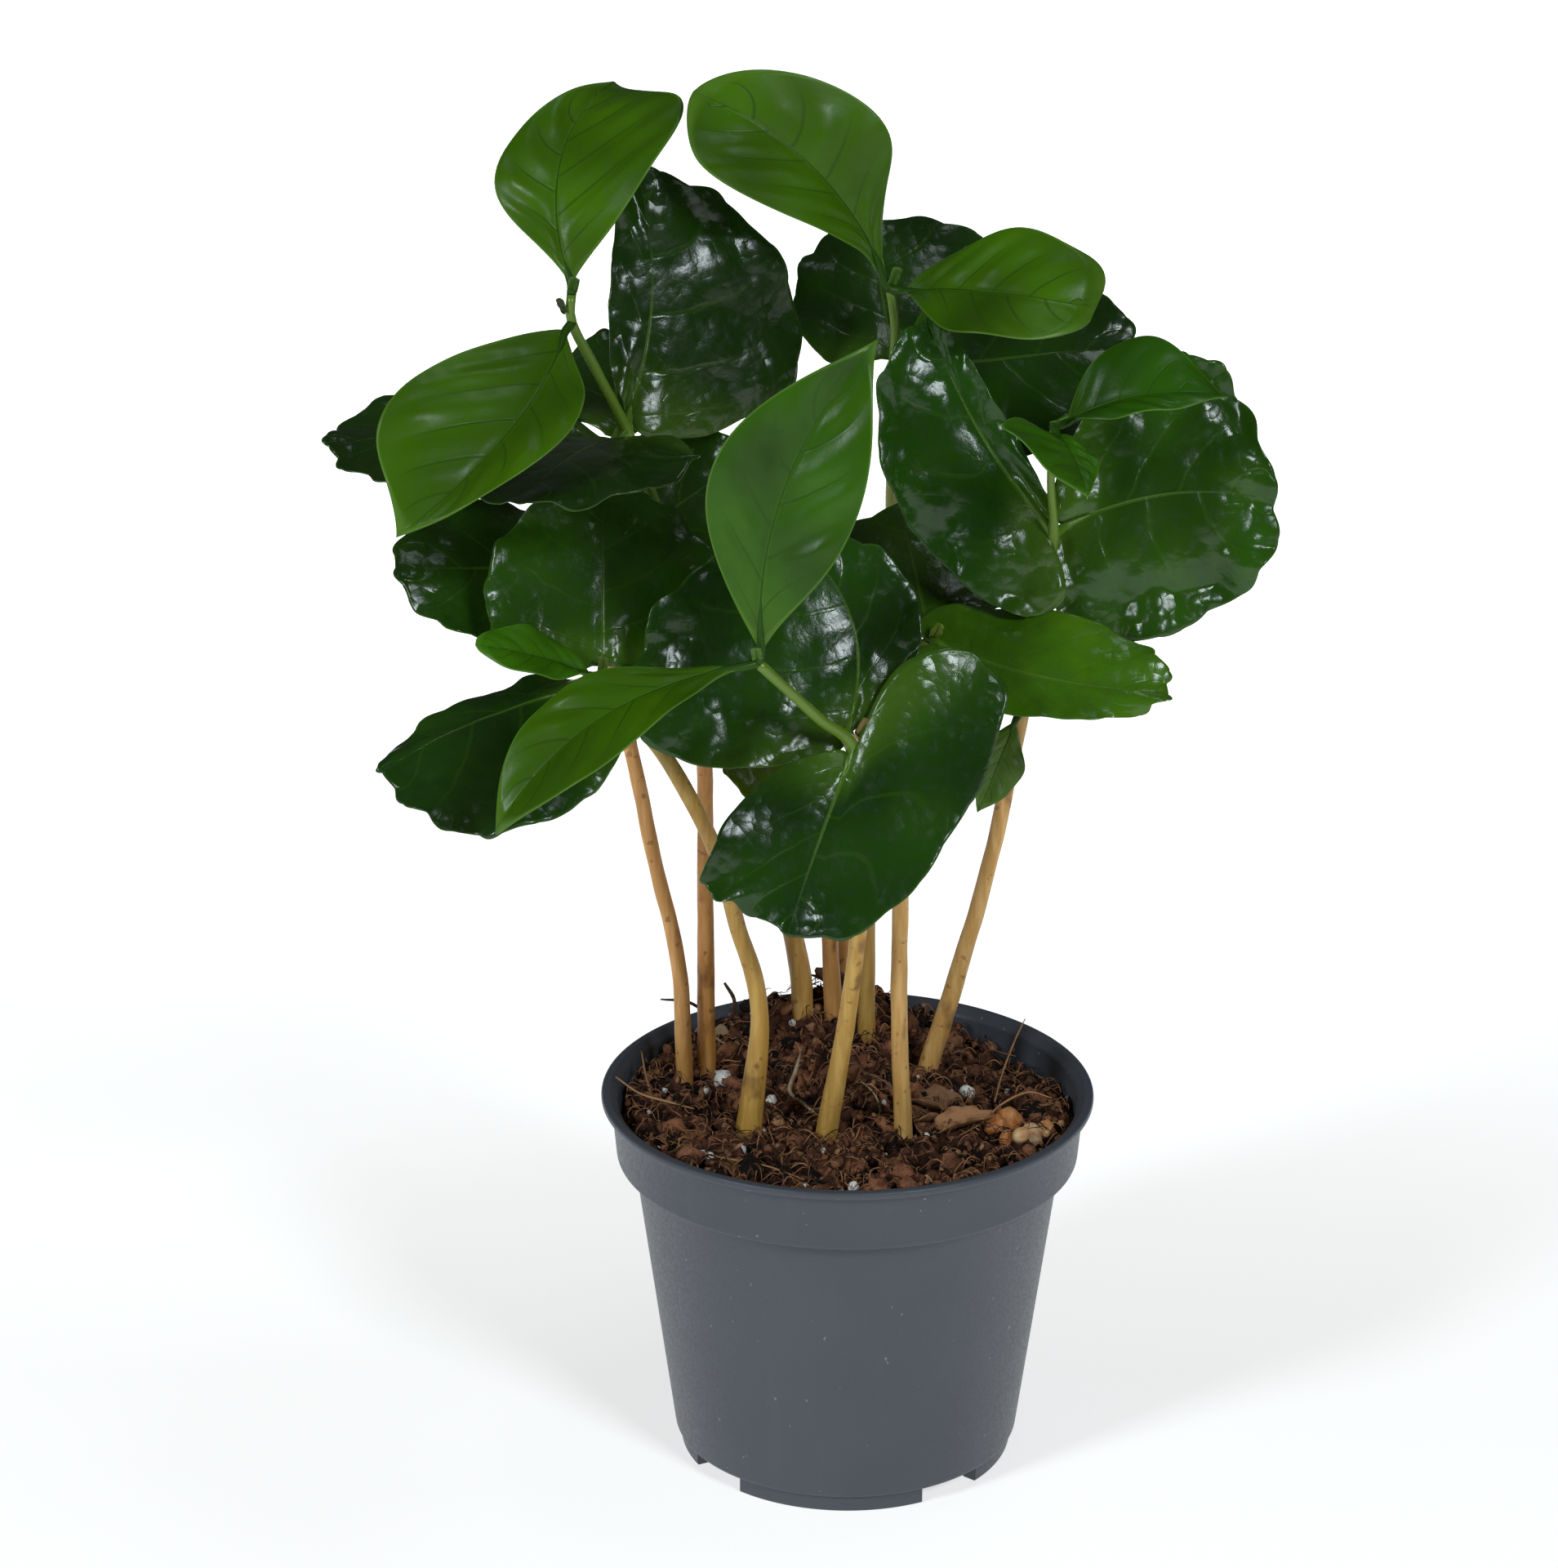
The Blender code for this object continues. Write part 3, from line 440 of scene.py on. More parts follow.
seedLeaf = dict(
    pointed=False, bend=0, cup=10, fold=0, lean=0, sway=0, skew=0, lobe=0.1, close=0, blunt=0, broad=1,
    wave=0.9, waves=7, notch=0.015, notches=13, scallop=0.011, shift=(0, 0, 0),
    groove=0.16, pucker=0.6, quilt=0, stalk=1.0, shrink=0.978, tint=(0.0127, 0.044, 0.0024),
)
trueLeaf = dict(
    pointed=True, bend=20, cup=0, fold=14, lean=0, sway=0, skew=0, lobe=0, close=0, blunt=0, broad=1,
    wave=0.5, waves=5, notch=0, notches=0, scallop=0, shift=(0, 0, 0),
    groove=0.36, pucker=0.22, quilt=0.4, stalk=0.85, shrink=0.985, tint=(0.040, 0.112, 0.0015),
)
leafTable = {
    "seed_leaf_a_1": dict(
        tip=(-13, -12, 181.4), width=55, face=(0, -0.9, 0.45), lobe=0.15, close=0.9, fold=8, lean=-0.55,
        sway=6.9, skew=0.05, shift=(0, 1, 0), pucker=0.8, tint=(0.0098, 0.0395, 0.0027),
    ),
    "seed_leaf_a_2": dict(
        tip=(-11.1, -43, 118.1), width=41.5, face=(0, -0.95, 0.3), lobe=0.78, close=0.95, cup=-8,
        lean=-0.15, sway=0.3, skew=0.63, shift=(0, -2.3, -0.4), pucker=0.16, tint=(0.0095, 0.04, 0.0024),
    ),
    "true_leaf_a_1": dict(
        tip=(4, -36, 221), width=26.5, face=(0.1, -0.9, 0.3), sway=-6.2, tint=(0.027, 0.092, 0.0018),
    ),
    "true_leaf_a_2": dict(
        tip=(-60, -56, 141.4), width=21.4, face=(-0.25, -0.5, 0.8), bend=48, fold=18, lean=-0.17,
        sway=3.8, skew=0.02, blunt=0.3, broad=1.28,
    ),
    # This leaf's tint is the darkest of the seed leaves, a painted shade for the shade that the leaves around
    # it cast on it
    "seed_leaf_b_1": dict(
        tip=(-37.2, 17, 237.6), width=37.9, face=(0.3, -0.9, 0.3), lobe=0.16, close=0.85, lean=0.6,
        sway=3.5, skew=-0.16, shift=(0.3, 1.8, 0), pucker=0.5, tint=(0.008, 0.029, 0.002),
    ),
    "seed_leaf_b_2": dict(
        tip=(-56, -26, 189), width=45, face=(-0.3, -0.35, 0.9), bend=30, pucker=0.4,
        tint=(0.0109, 0.0354, 0.0032),
    ),
    "true_leaf_b_1": dict(
        tip=(-41.1, 27.5, 251), width=31, face=(0, -0.85, 0.4), bend=45, lean=0.3, sway=-6, skew=0.5,
        blunt=0.15, broad=1.12, shift=(0, 0, 0.1),
    ),
    "true_leaf_b_2": dict(
        at=8, tip=(-76.5, -34, 185.7), width=28.7, face=(-0.1, -0.75, 0.6), bend=50, lean=0.34, sway=-6,
        skew=0.43, blunt=0.14,
    ),
    "seed_leaf_c_1": dict(
        tip=(-93, 14, 188), width=30, face=(0, -0.4, 0.9), lobe=-0.2, bend=20, shift=(-0.2, 0, 0.1),
        pucker=0.5, tint=(0.0126, 0.0395, 0.0035),
    ),
    "seed_leaf_c_2": dict(
        tip=(-43, 52, 199), width=28, face=(0, -0.8, 0.6), lobe=-0.2, shift=(0.6, 0.3, 0.7),
    ),
    "seed_leaf_d_1": dict(
        tip=(-43, -2, 186), width=42, face=(0.1, -0.95, 0.3), lobe=0.15, shift=(0.1, 0.4, 0.2),
        tint=(0.0172, 0.0624, 0.0027),
    ),
    "seed_leaf_d_2": dict(
        tip=(-81, -30, 142.3), width=31.9, face=(-0.15, -0.45, 0.85), lobe=0.17, close=0.2, bend=20,
        lean=-0.6, sway=1.5, skew=-0.16, shift=(0, 0, -1.8), pucker=0.5, tint=(0.0109, 0.0395, 0.003),
    ),
    "true_leaf_d_1": dict(
        tip=(-64, -31, 166), width=11, face=(0, -0.6, 0.8), blunt=1, broad=1.2, shift=(-0.2, -0.5, 0.1),
        tint=(0.0388, 0.1358, 0.003),
    ),
    "seed_leaf_e_1": dict(
        tip=(4, 52, 221), width=44, face=(0, -0.72, 0.7), lean=0.25, shift=(0, 0.5, 0), pucker=0.22,
        tint=(0.011, 0.042, 0.002),
    ),
    "seed_leaf_e_2": dict(
        tip=(52, 26, 203), width=38, face=(0, -0.72, 0.7), lobe=0, bend=10, shift=(0.4, -0.8, 0),
        pucker=0.35, tint=(0.0115, 0.0416, 0.0027),
    ),
    "true_leaf_e_1": dict(
        tip=(-27.6, 15.5, 251.1), width=29.5, face=(0.1, -0.85, 0.5), bend=47, sway=4, skew=-0.44,
        blunt=0.76, broad=1.55, shift=(0, 0, 0.2),
    ),
    "true_leaf_e_2": dict(
        tip=(42.2, 1.4, 215.9), width=25.8, face=(0, -0.6, 0.75), bend=71, lean=-0.01, sway=3.4,
        skew=-0.04, blunt=1.28, broad=1.46,
    ),
    "seed_leaf_f_1": dict(
        tip=(74.5, -3, 183.1), width=51, face=(0.1, -0.95, 0.3), lobe=0.21, close=0.74, lean=0.02,
        sway=-3.6, skew=-0.27, shift=(-0.4, 2.6, 0), pucker=0.9, tint=(0.016, 0.06, 0.002),
    ),
    "seed_leaf_f_2": dict(
        tip=(12.8, 5.2, 214.6), width=25, face=(-0.15, -0.88, 0.4), lobe=0.57, close=0.9, fold=10,
        lean=-0.57, sway=-2, skew=0.03, shift=(-0.8, 0.4, 0.5), pucker=0.75, tint=(0.011, 0.05, 0.0018),
    ),
    "true_leaf_f_1": dict(
        tip=(63, -20, 206), width=16, face=(0.1, -0.6, 0.8), bend=70, lean=-0.4,
        tint=(0.019, 0.076, 0.0014),
    ),
    "true_leaf_f_2": dict(
        tip=(38.9, -30.8, 191.7), width=20.8, face=(0.37, -0.08, 0.99), bend=30, lean=0.6, skew=-0.03,
        tint=(0.0369, 0.131, 0.0024),
    ),
    "true_leaf_f_3": dict(
        at=3, tip=(23, 0, 124), width=10, face=(0.3, -0.9, 0.1), bend=10, shift=(-0.7, -0.7, 0),
        tint=(0.0776, 0.1552, 0.021),
    ),
    "seed_leaf_g_1": dict(
        tip=(55.4, -20, 153.7), width=21, face=(0.1, -0.8, 0.6), lobe=0.4, close=0.8, bend=17, lean=-0.26,
        sway=2.7, skew=-0.22, shift=(-1.2, -0.9, 0.6), pucker=0.25, tint=(0.048, 0.14, 0.0035),
    ),
    "seed_leaf_g_2": dict(
        tip=(9, 18, 176), width=44, face=(0, -0.6, 0.8), lobe=-0.1, shift=(0, 0.5, 0.4), pucker=0.25,
        tint=(0.02, 0.056, 0.0025),
    ),
    "seed_leaf_h_1": dict(
        tip=(-80, -4, 171), width=29, face=(0, -0.7, 0.7), shift=(-0.2, 0, 0.1), pucker=0.5,
    ),
    "seed_leaf_h_2": dict(tip=(-17, 17, 186), width=30, face=(0.1, -0.9, 0.4), lobe=0),
    "seed_leaf_j_1": dict(
        tip=(-22, 0, 131), width=26, face=(0, -0.5, 0.85), lobe=-0.05, bend=20, lean=-0.3,
        tint=(0.11, 0.18, 0.008),
    ),
    "seed_leaf_j_2": dict(
        tip=(-8, 36, 146), width=18, face=(0, -0.5, 0.85), lobe=-0.15, bend=10, shift=(0, 0.2, 0.2),
    ),
    "seed_leaf_k_1": dict(tip=(-12, 54, 154), width=32, face=(0, 0.3, 0.9), lobe=-0.1, bend=20),
    "seed_leaf_k_2": dict(
        tip=(31, 54, 162), width=32, face=(0, 0.3, 0.9), lobe=-0.1, bend=20, shift=(0.3, 0.3, 0.2),
    ),
}

outline = dict(
    round=0.85, lobe=0.7, close=8, point=1.15, blunt=0.65, stalkHalfWidth=0.9, stemSpace=2.2, stalkGap=0.5,
    beats=13,
)

leafLook = dict(
    cellSize=0.75,
    mostCells=64,
    thickness=0.42,
    spread=0.25,  # how far the tint wanders over a blade
    fullQuilt=25,  # from this width on a true leaf swells fully between its veins
    veinCurve=1.2,
    veinShift=0.3,  # how far the veins of the two halves stand apart
)


def discPoint(a, b):
    # The square from -1 to 1 drawn in to the unit disc: p = a * root(1 - b^2 / 2), q = b * root(1 - a^2 / 2)
    return a * np.sqrt(1 - b * b / 2), b * np.sqrt(1 - a * a / 2)


def midribArc(bend):
    # An arc of unit length whose slope grows evenly from nothing to bend
    along = np.linspace(0, 1, 101)
    angle = math.radians(bend) * along
    middle = (angle[1:] + angle[:-1]) / 2
    forward = np.concatenate([[0], np.cumsum(np.cos(middle))]) / 100
    drop = -np.concatenate([[0], np.cumsum(np.sin(middle))]) / 100
    return along, forward, drop, angle


def flatBlade(p, q, leaf, length):
    # Width follows a power of sin(pi * share) on a pointed leaf and an egg's outline on a round one; lobes draw
    # the base corners back, skew slants the blade, and the edge is notched by sines, scalloped by |sin|
    chord = np.sqrt(np.clip(1 - q * q, 0, 1))
    half = leaf["width"] / 2
    if leaf["pointed"]:
        share = np.arcsin(np.clip(q, -1, 1)) / math.pi + 0.5
        power = outline["point"] - outline["blunt"] * leaf["blunt"] * share
        form = np.clip(np.sin(math.pi * share ** leaf["broad"]), 0, 1) ** power
    else:
        share = (q + 1) / 2
        form = np.sqrt(np.clip(1 - (2 * share ** outline["round"] - 1) ** 2, 0, 1))
    width = np.maximum(half * form, outline["stalkHalfWidth"] * np.minimum(1, 4 * chord))
    side = np.clip(p / np.maximum(chord, 1e-6), -1, 1)
    x = side * width
    x = x * (1 + leaf["lean"] * np.sign(x))
    back = np.clip((np.abs(x) - outline["stemSpace"]) / half, 0, 1) ** outline["lobe"]
    back = back * (1 - leaf["skew"] * np.sign(x))
    y = share * length - leaf["lobe"] * length * (1 - share) ** 2 * back
    y = y + leaf["skew"] * x * np.sin(math.pi * share)
    x = x * (1 - leaf["close"] * (1 - share) ** outline["close"])
    rim = np.hypot(p, q)
    turn = np.arctan2(p, q)
    notched = 1 + leaf["notch"] * rim**6 * np.sin(leaf["notches"] * turn + leaf["phase"])
    beat = outline["beats"] * turn + 1.3 * np.sin(2 * turn + leaf["phase"]) + 0.5 * np.sin(5 * turn)
    notched = notched * (1 - leaf["scallop"] * rim**10 * (1 - np.abs(np.sin(beat)) ** 0.7))
    lift = leaf["wave"] * rim**3 * np.sin(leaf["waves"] * turn + leaf["phase"])
    shrink = leaf["shrink"]
    return x * notched * shrink, (y * notched - length / 2) * shrink + length / 2, share, side, lift


def bentBlade(x, y, share, lift, leaf, length):
    # Cupped on a circle across its width, folded as a root of (x^2 + 1), bowed by 4 * share * (1 - share) and
    # bent on the arc
    curve = -math.radians(leaf["cup"]) / (leaf["width"] / 2)
    if leaf["cup"]:
        across = np.sin(curve * x) / curve - np.sin(curve * x) * lift
        height = (1 - np.cos(curve * x)) / curve + np.cos(curve * x) * lift
    else:
        across, height = x, lift
    fold = math.radians(leaf["fold"])
    height = height + math.sin(fold) * (np.sqrt(across * across + 1) - 1)
    across = across * math.cos(fold) + leaf["sway"] * 4 * share * (1 - share)
    along, forward, drop, angle = midribArc(leaf["bend"])
    reach = y / length
    turned = np.interp(reach, along, angle)
    before = np.minimum(reach, 0)
    beyond = np.maximum(reach - 1, 0)
    y = np.interp(reach, along, forward) + before + beyond * math.cos(angle[-1])
    z = np.interp(reach, along, drop) - beyond * math.sin(angle[-1])
    y = y * length + height * np.sin(turned)
    z = z * length + height * np.cos(turned)
    tilt = math.atan2(drop[-1], forward[-1])
    return across, y * math.cos(tilt) + z * math.sin(tilt), z * math.cos(tilt) - y * math.sin(tilt)


def leafFoot(leaf):
    # Just off the stem's side, or over its end where the leaf rises from it
    stem = stemTable[leaf["stem"]]
    route = np.array(stem["route"], float)
    last = len(route) - 1
    point = route[leaf["at"]]
    away = unit(np.array(leaf["tip"]) - point)
    rise = max(0, away @ unit(route[last] - route[last - 1])) if leaf["at"] == last else 0
    reach = stemRadius(stem, leaf["at"] / last) * (1 - rise) + outline["stalkGap"]
    return point, point + away * reach + np.array(leaf["shift"])


def bladeSurface(p, q, leaf):
    # The bent blade turned so that y runs from foot to tip and z towards its face, and moved to its foot
    _, foot = leafFoot(leaf)
    run = np.array(leaf["tip"]) - foot
    _, forward, drop, _ = midribArc(leaf["bend"])
    length = np.linalg.norm(run) / math.hypot(forward[-1], drop[-1])
    x, y, share, side, lift = flatBlade(p, q, leaf, length)
    bent = np.stack(bentBlade(x, y, share, lift, leaf, length), axis=-1)
    yAxis = unit(run)
    face = np.array(leaf["face"], float)
    zAxis = unit(face - (face @ yAxis) * yAxis)
    axes = np.array((np.cross(yAxis, zAxis), yAxis, zAxis))
    return foot + bent @ axes, x, y, share, side


def bladeUpward(p, q, leaf):
    # Square to small steps across and along, taken a little inside the edge
    p, q, step = p * 0.985, q * 0.985, 0.004
    across = bladeSurface(p + step, q, leaf)[0] - bladeSurface(p - step, q, leaf)[0]
    ahead = bladeSurface(p, q + step, leaf)[0] - bladeSurface(p, q - step, leaf)[0]
    return unit(np.cross(across, ahead))


def veinPhase(leaf, share, side):
    # (share - arch * |side|^curve) * veins, moved on one half: whole numbers are the side veins
    arched = leaf["arch"] * np.abs(side) ** leafLook["veinCurve"]
    return (share - arched) * leaf["veins"] + leafLook["veinShift"] * np.sign(side)


def trueRelief(leaf, x, y, share, side, rim):
    # A grooved midrib and a soft swelling sin^2 between each two side veins, which arch towards the tip
    swelling = np.sin(math.pi * veinPhase(leaf, share, side)) ** 2
    inner = np.clip(np.abs(side) * 3, 0, 1) * np.clip((1 - rim) * 4, 0, 1) * np.clip(share * 5, 0, 1)
    middle = np.exp(-((x / 1.0) ** 2)) * (1 - share) ** 0.4
    soft = ripple(x, y, int(leaf["phase"] * 100), 10, 9, 20)
    uneven = 1 + 0.5 * ripple(x, y, int(leaf["phase"] * 100) + 3, 8, 10, 24)
    quilt = leaf["quilt"] * min(1, leaf["width"] / leafLook["fullQuilt"])
    return quilt * swelling * inner * uneven - leaf["groove"] * middle + leaf["pucker"] * soft * rim**2


def domes(x, y, size, seed):
    # Blisters about one point scattered in each square cell: log of the sum of exp(-8 * distance^2), over 4
    scatter = np.random.default_rng(seed).uniform(0.1, 0.9, (32, 32, 2))
    across, ahead = x / size, y / size
    column, row = np.floor(across).astype(int), np.floor(ahead).astype(int)
    near = np.zeros_like(across)
    for stepX in (-1, 0, 1):
        for stepY in (-1, 0, 1):
            spot = scatter[(column + stepX) % 32, (row + stepY) % 32]
            gap = (column + stepX + spot[..., 0] - across) ** 2 + (row + stepY + spot[..., 1] - ahead) ** 2
            near = near + np.exp(-8 * gap)
    return 0.3 + np.log(near) / 4


def seedRelief(leaf, x, y, share, side, rim):
    # Valleys along the arching side veins, with blisters between them that grow and crowd towards the edge
    seed = int(leaf["phase"] * 100)
    phase = veinPhase(leaf, share, side)
    valley = np.exp(-((np.abs(phase - np.round(phase)) / 0.16) ** 2))
    valley = valley * np.clip(np.abs(side) * 4, 0, 1) * (1 - rim**2)
    middle = np.exp(-((x / 1.6) ** 2)) * (1 - share)
    broad = domes(x, y, 8.5, seed)
    small = domes(x + 1.5 * broad, y, 4.2, seed + 1)
    blister = (0.55 + 1.35 * rim**2) * broad + (0.12 + 0.75 * rim**3) * small
    return leaf["pucker"] * blister - leaf["groove"] * np.maximum(0.7 * valley, middle)


def makeLeafShape(leaf):
    # Two skins half the thickness above and below the blade's relief, joined by a wall around the rim
    _, foot = leafFoot(leaf)
    span = max(np.linalg.norm(np.array(leaf["tip"]) - foot), leaf["width"])
    cells = int(np.clip(span / leafLook["cellSize"], 12, leafLook["mostCells"]))
    line = np.linspace(-1, 1, cells + 1)
    a, b = np.meshgrid(line, line)
    p, q = discPoint(a, b)
    points, x, y, share, side = bladeSurface(p, q, leaf)
    upward = bladeUpward(p, q, leaf)
    rim = np.hypot(p, q)
    relief = (trueRelief if leaf["pointed"] else seedRelief)(leaf, x, y, share, side, rim)[..., None]
    half = leafLook["thickness"] / 2 * np.clip(1.25 - 0.75 * rim**8, 0.4, 1)[..., None]
    top = points + upward * (relief + half)
    bottom = points + upward * (relief - half)
    count = a.size
    wander = 1 + leafLook["spread"] * ripple(x, y, int(leaf["phase"] * 50) + 7, 8, 14, 40)
    tints = np.ones((count, 4))
    tints[:, :3] = np.array(leaf["tint"]) * wander.reshape(-1, 1)
    blade = np.stack((x, share, side), axis=-1).reshape(-1, 3)
    return asShape(
        np.concatenate([top.reshape(-1, 3), bottom.reshape(-1, 3)]),
        skinFaces(*a.shape),
        blade=np.tile(blade, (2, 1)),
        rim=np.tile(rim.ravel(), 2),
        under=np.repeat([0.0, 1.0], count),
        tint=np.tile(tints, (2, 1)),
    )


def makeStalk(leaf):
    # A tapering rod from inside the stem, through the leaf's foot, and on under its midrib
    heart, _ = leafFoot(leaf)
    q = np.array([-0.999, -0.97, -0.9, -0.78]) if leaf["pointed"] else np.array([-0.99, -0.93, -0.85, -0.72])
    none = np.zeros_like(q)
    sunk = np.array([0.1, 0.35, 0.45, 0.45])[:, None] * leaf["stalk"]
    ribs = bladeSurface(none, q, leaf)[0] - bladeUpward(none, q, leaf) * sunk
    path = curveThrough(np.concatenate([[heart], ribs]), 0.7)
    share = np.linspace(0, 1, len(path))
    shape = tube(path, leaf["stalk"] * np.interp(share, (0, 0.35, 1), (1.05, 0.8, 0.12)), 10)
    count = len(shape["points"])
    tint = [*(np.array(leaf["tint"]) * 1.5 + (0.02, 0.035, 0.0)), 1.0]
    shape["values"] = dict(
        blade=np.zeros((count, 3)),
        rim=np.zeros(count),
        under=np.full(count, 0.3),
        tint=np.tile(tint, (count, 1)),
    )
    return shape


def sideVeins(tree, look, share, side):
    # 1 on a side vein, by the same phase as the relief
    sideways = maths(tree, "ABSOLUTE", side)
    arched = maths(tree, "MULTIPLY", maths(tree, "POWER", sideways, leafLook["veinCurve"]), look["arch"])
    phase = maths(tree, "MULTIPLY", maths(tree, "SUBTRACT", share, arched), look["veins"])
    phase = maths(tree, "MULTIPLY_ADD", maths(tree, "SIGN", side), leafLook["veinShift"], phase)
    wander = maths(tree, "MULTIPLY_ADD", noise(tree, 110, 2), look["wobble"], -look["wobble"] / 2)
    phase = maths(tree, "ADD", phase, wander)
    ridge = smoothStep(tree, maths(tree, "PINGPONG", phase, 0.5), 0.012, 0.06, 1, 0)
    return maths(tree, "MULTIPLY", ridge, smoothStep(tree, sideways, 0.35, 0.9, 1, 0))


def makeLeafMaterial(name, look):
    # blade holds the place in mm across, the share of the length and the share of the half width
    material, tree, shader = newMaterial(name, look["roughness"], look["specular"])
    blade = attribute(tree, "blade", "Vector")
    across, share, side = shadeNode(tree, "ShaderNodeSeparateXYZ", {0: blade}).outputs
    rim, under = attribute(tree, "rim", "Fac"), attribute(tree, "under", "Fac")
    taper = maths(tree, "MULTIPLY_ADD", share, -0.8, 1.0)
    slim = maths(tree, "DIVIDE", maths(tree, "ABSOLUTE", across), taper)
    fading = smoothStep(tree, share, 0.3, 0.9, 1, 0.15)
    midrib = maths(tree, "MULTIPLY", smoothStep(tree, slim, 0.2, 0.58, 1, 0), fading)
    # Painted shade: a thin dark line along the midrib's groove, shown on true leaves only
    shadedCrease = smoothStep(tree, slim, 0.08, 0.26, 1, 0)
    # On true leaves the darker vein colour is a painted shade in the grooves of the side veins; on seed leaves
    # it is their own paler green
    veinTintAndShade = sideVeins(tree, look, share, side)
    fine, broad, cells = noise(tree, 380, 4), noise(tree, 85, 2), noise(tree, 1500, 2)
    colour = attribute(tree, "tint", "Color")
    for over, shown, blend in (
        ("deep", smoothStep(tree, fine, 0.3, 0.75, 0, 0.5), "MULTIPLY"),
        ("yellowed", smoothStep(tree, broad, 0.45, 0.7, 0, 0.6), "MULTIPLY"),
        ("foot", smoothStep(tree, share, 0.02, 0.3, look["footShow"], 0), "MIX"),
        ("veinTintAndShade", maths(tree, "MULTIPLY", veinTintAndShade, look["veinShow"]), "MIX"),
        ("midrib", maths(tree, "MULTIPLY", midrib, look["midribShow"]), "MIX"),
        ("shadedCrease", maths(tree, "MULTIPLY", shadedCrease, look["creaseShadeShow"]), "MIX"),
        ("margin", smoothStep(tree, rim, 0.972, 0.998, 0, look["marginShow"]), "MIX"),
        ("underside", smoothStep(tree, under, 0.4, 0.8, 0, 0.85), "MIX"),
    ):
        colour = mixed(tree, shown, colour, look[over], blend)
    tree.links.new(colour, shader.inputs["Base Color"])
    gloss = smoothStep(tree, fine, 0.25, 0.8, look["roughness"] - 0.05, look["roughness"] + 0.1)
    tree.links.new(maths(tree, "MULTIPLY_ADD", under, 0.25, gloss), shader.inputs["Roughness"])
    height = maths(tree, "MULTIPLY_ADD", veinTintAndShade, -0.15, maths(tree, "MULTIPLY", cells, 0.08))
    height = maths(tree, "MULTIPLY_ADD", fine, look["crinkle"], height)
    height = maths(tree, "MULTIPLY_ADD", shadedCrease, -0.4, height)
    if look["bubbles"]:
        edgeward = smoothStep(tree, rim, 0.2, 0.9, 0.35, 1)
        bubbles = maths(tree, "MULTIPLY", pebbles(tree, 430), edgeward)
        height = maths(tree, "MULTIPLY_ADD", bubbles, look["bubbles"], height)
    raised(tree, shader, height, 0.35, 0.6)
    return material


# Shows are the shares of the colours below them; crinkle and bubbles are relief. The vein colour is the seed
# leaves' own paler green, and on true leaves a darker green, a painted shade in the side veins' grooves
seedLook = dict(
    roughness=0.2, specular=0.38, arch=0.4, veins=4.2, wobble=0.3, crinkle=0.55, bubbles=-0.8,
    footShow=0.55, veinShow=0.16, midribShow=0.42, creaseShadeShow=0.0, marginShow=0.35,
    foot=(0.070, 0.150, 0.010), veinTintAndShade=(0.050, 0.125, 0.008), midrib=(0.095, 0.190, 0.015),
    shadedCrease=(0.02, 0.06, 0.005), margin=(0.045, 0.115, 0.012), underside=(0.055, 0.095, 0.028),
    deep=(0.62, 0.66, 0.8), yellowed=(1.45, 1.2, 0.7),
)
# On true leaves the dark crease colour along the midrib's groove is a painted shade
trueLook = dict(
    roughness=0.31, specular=0.19, arch=0.24, veins=6.0, wobble=0.04, crinkle=0.12, bubbles=0,
    footShow=0.25, veinShow=0.62, midribShow=0.35, creaseShadeShow=0.8, marginShow=0.5,
    foot=(0.075, 0.170, 0.010), veinTintAndShade=(0.018, 0.062, 0.002), midrib=(0.060, 0.170, 0.008),
    shadedCrease=(0.013, 0.048, 0.002), margin=(0.12, 0.25, 0.03), underside=(0.075, 0.145, 0.030),
    deep=(0.8, 0.84, 0.85), yellowed=(1.2, 1.08, 0.75),
)

# Tiny leaves and scales at the tips and nodes, which stand for no node of their own
bud = dict(groove=0.05, quilt=0, pucker=0, wave=0.1, stalk=0.5, shrink=1, arch=0.2, veins=3, phase=1.0)
budTable = {
    "budLeafF": dict(
        stem="f", at=7, tip=(35.5, -21.5, 203), width=3.4, face=(0, -0.7, 0.7), bend=25,
        tint=(0.045, 0.15, 0.008),
    ),
    "budScaleB": dict(
        stem="b", at=8, tip=(-50.2, -0.6, 218.6), width=1.5, face=(-0.7, -0.7, 0.1),
        tint=(0.03, 0.035, 0.012),
    ),
    "budScaleB2": dict(
        stem="b", at=9, tip=(-47.2, -1.8, 222.5), width=1.4, face=(0, -1, 0.2), tint=(0.04, 0.09, 0.01),
    ),
    "budScaleE": dict(
        stem="e", at=7, tip=(8.4, 18, 219.5), width=1.6, face=(0.2, -0.9, 0.3), tint=(0.05, 0.11, 0.012),
    ),
    "budScaleA": dict(
        stem="a", at=4, tip=(2.8, -27.6, 151.8), width=2, face=(0, -0.9, 0.4), tint=(0.19, 0.12, 0.04),
    ),
    "budScaleA2": dict(
        stem="a", at=6, tip=(-16.4, -42.6, 169.6), width=1.4, face=(0, -0.9, 0.4), tint=(0.06, 0.13, 0.015),
    ),
    "budScaleG": dict(
        stem="g", at=5, tip=(15.6, -9.6, 163), width=2.2, face=(0, -0.9, 0.4), tint=(0.15, 0.21, 0.02),
    ),
    "budScaleD": dict(
        stem="d", at=6, tip=(-42.6, -18.6, 160), width=1.8, face=(0, -0.9, 0.4), tint=(0.06, 0.1, 0.015),
    ),
}


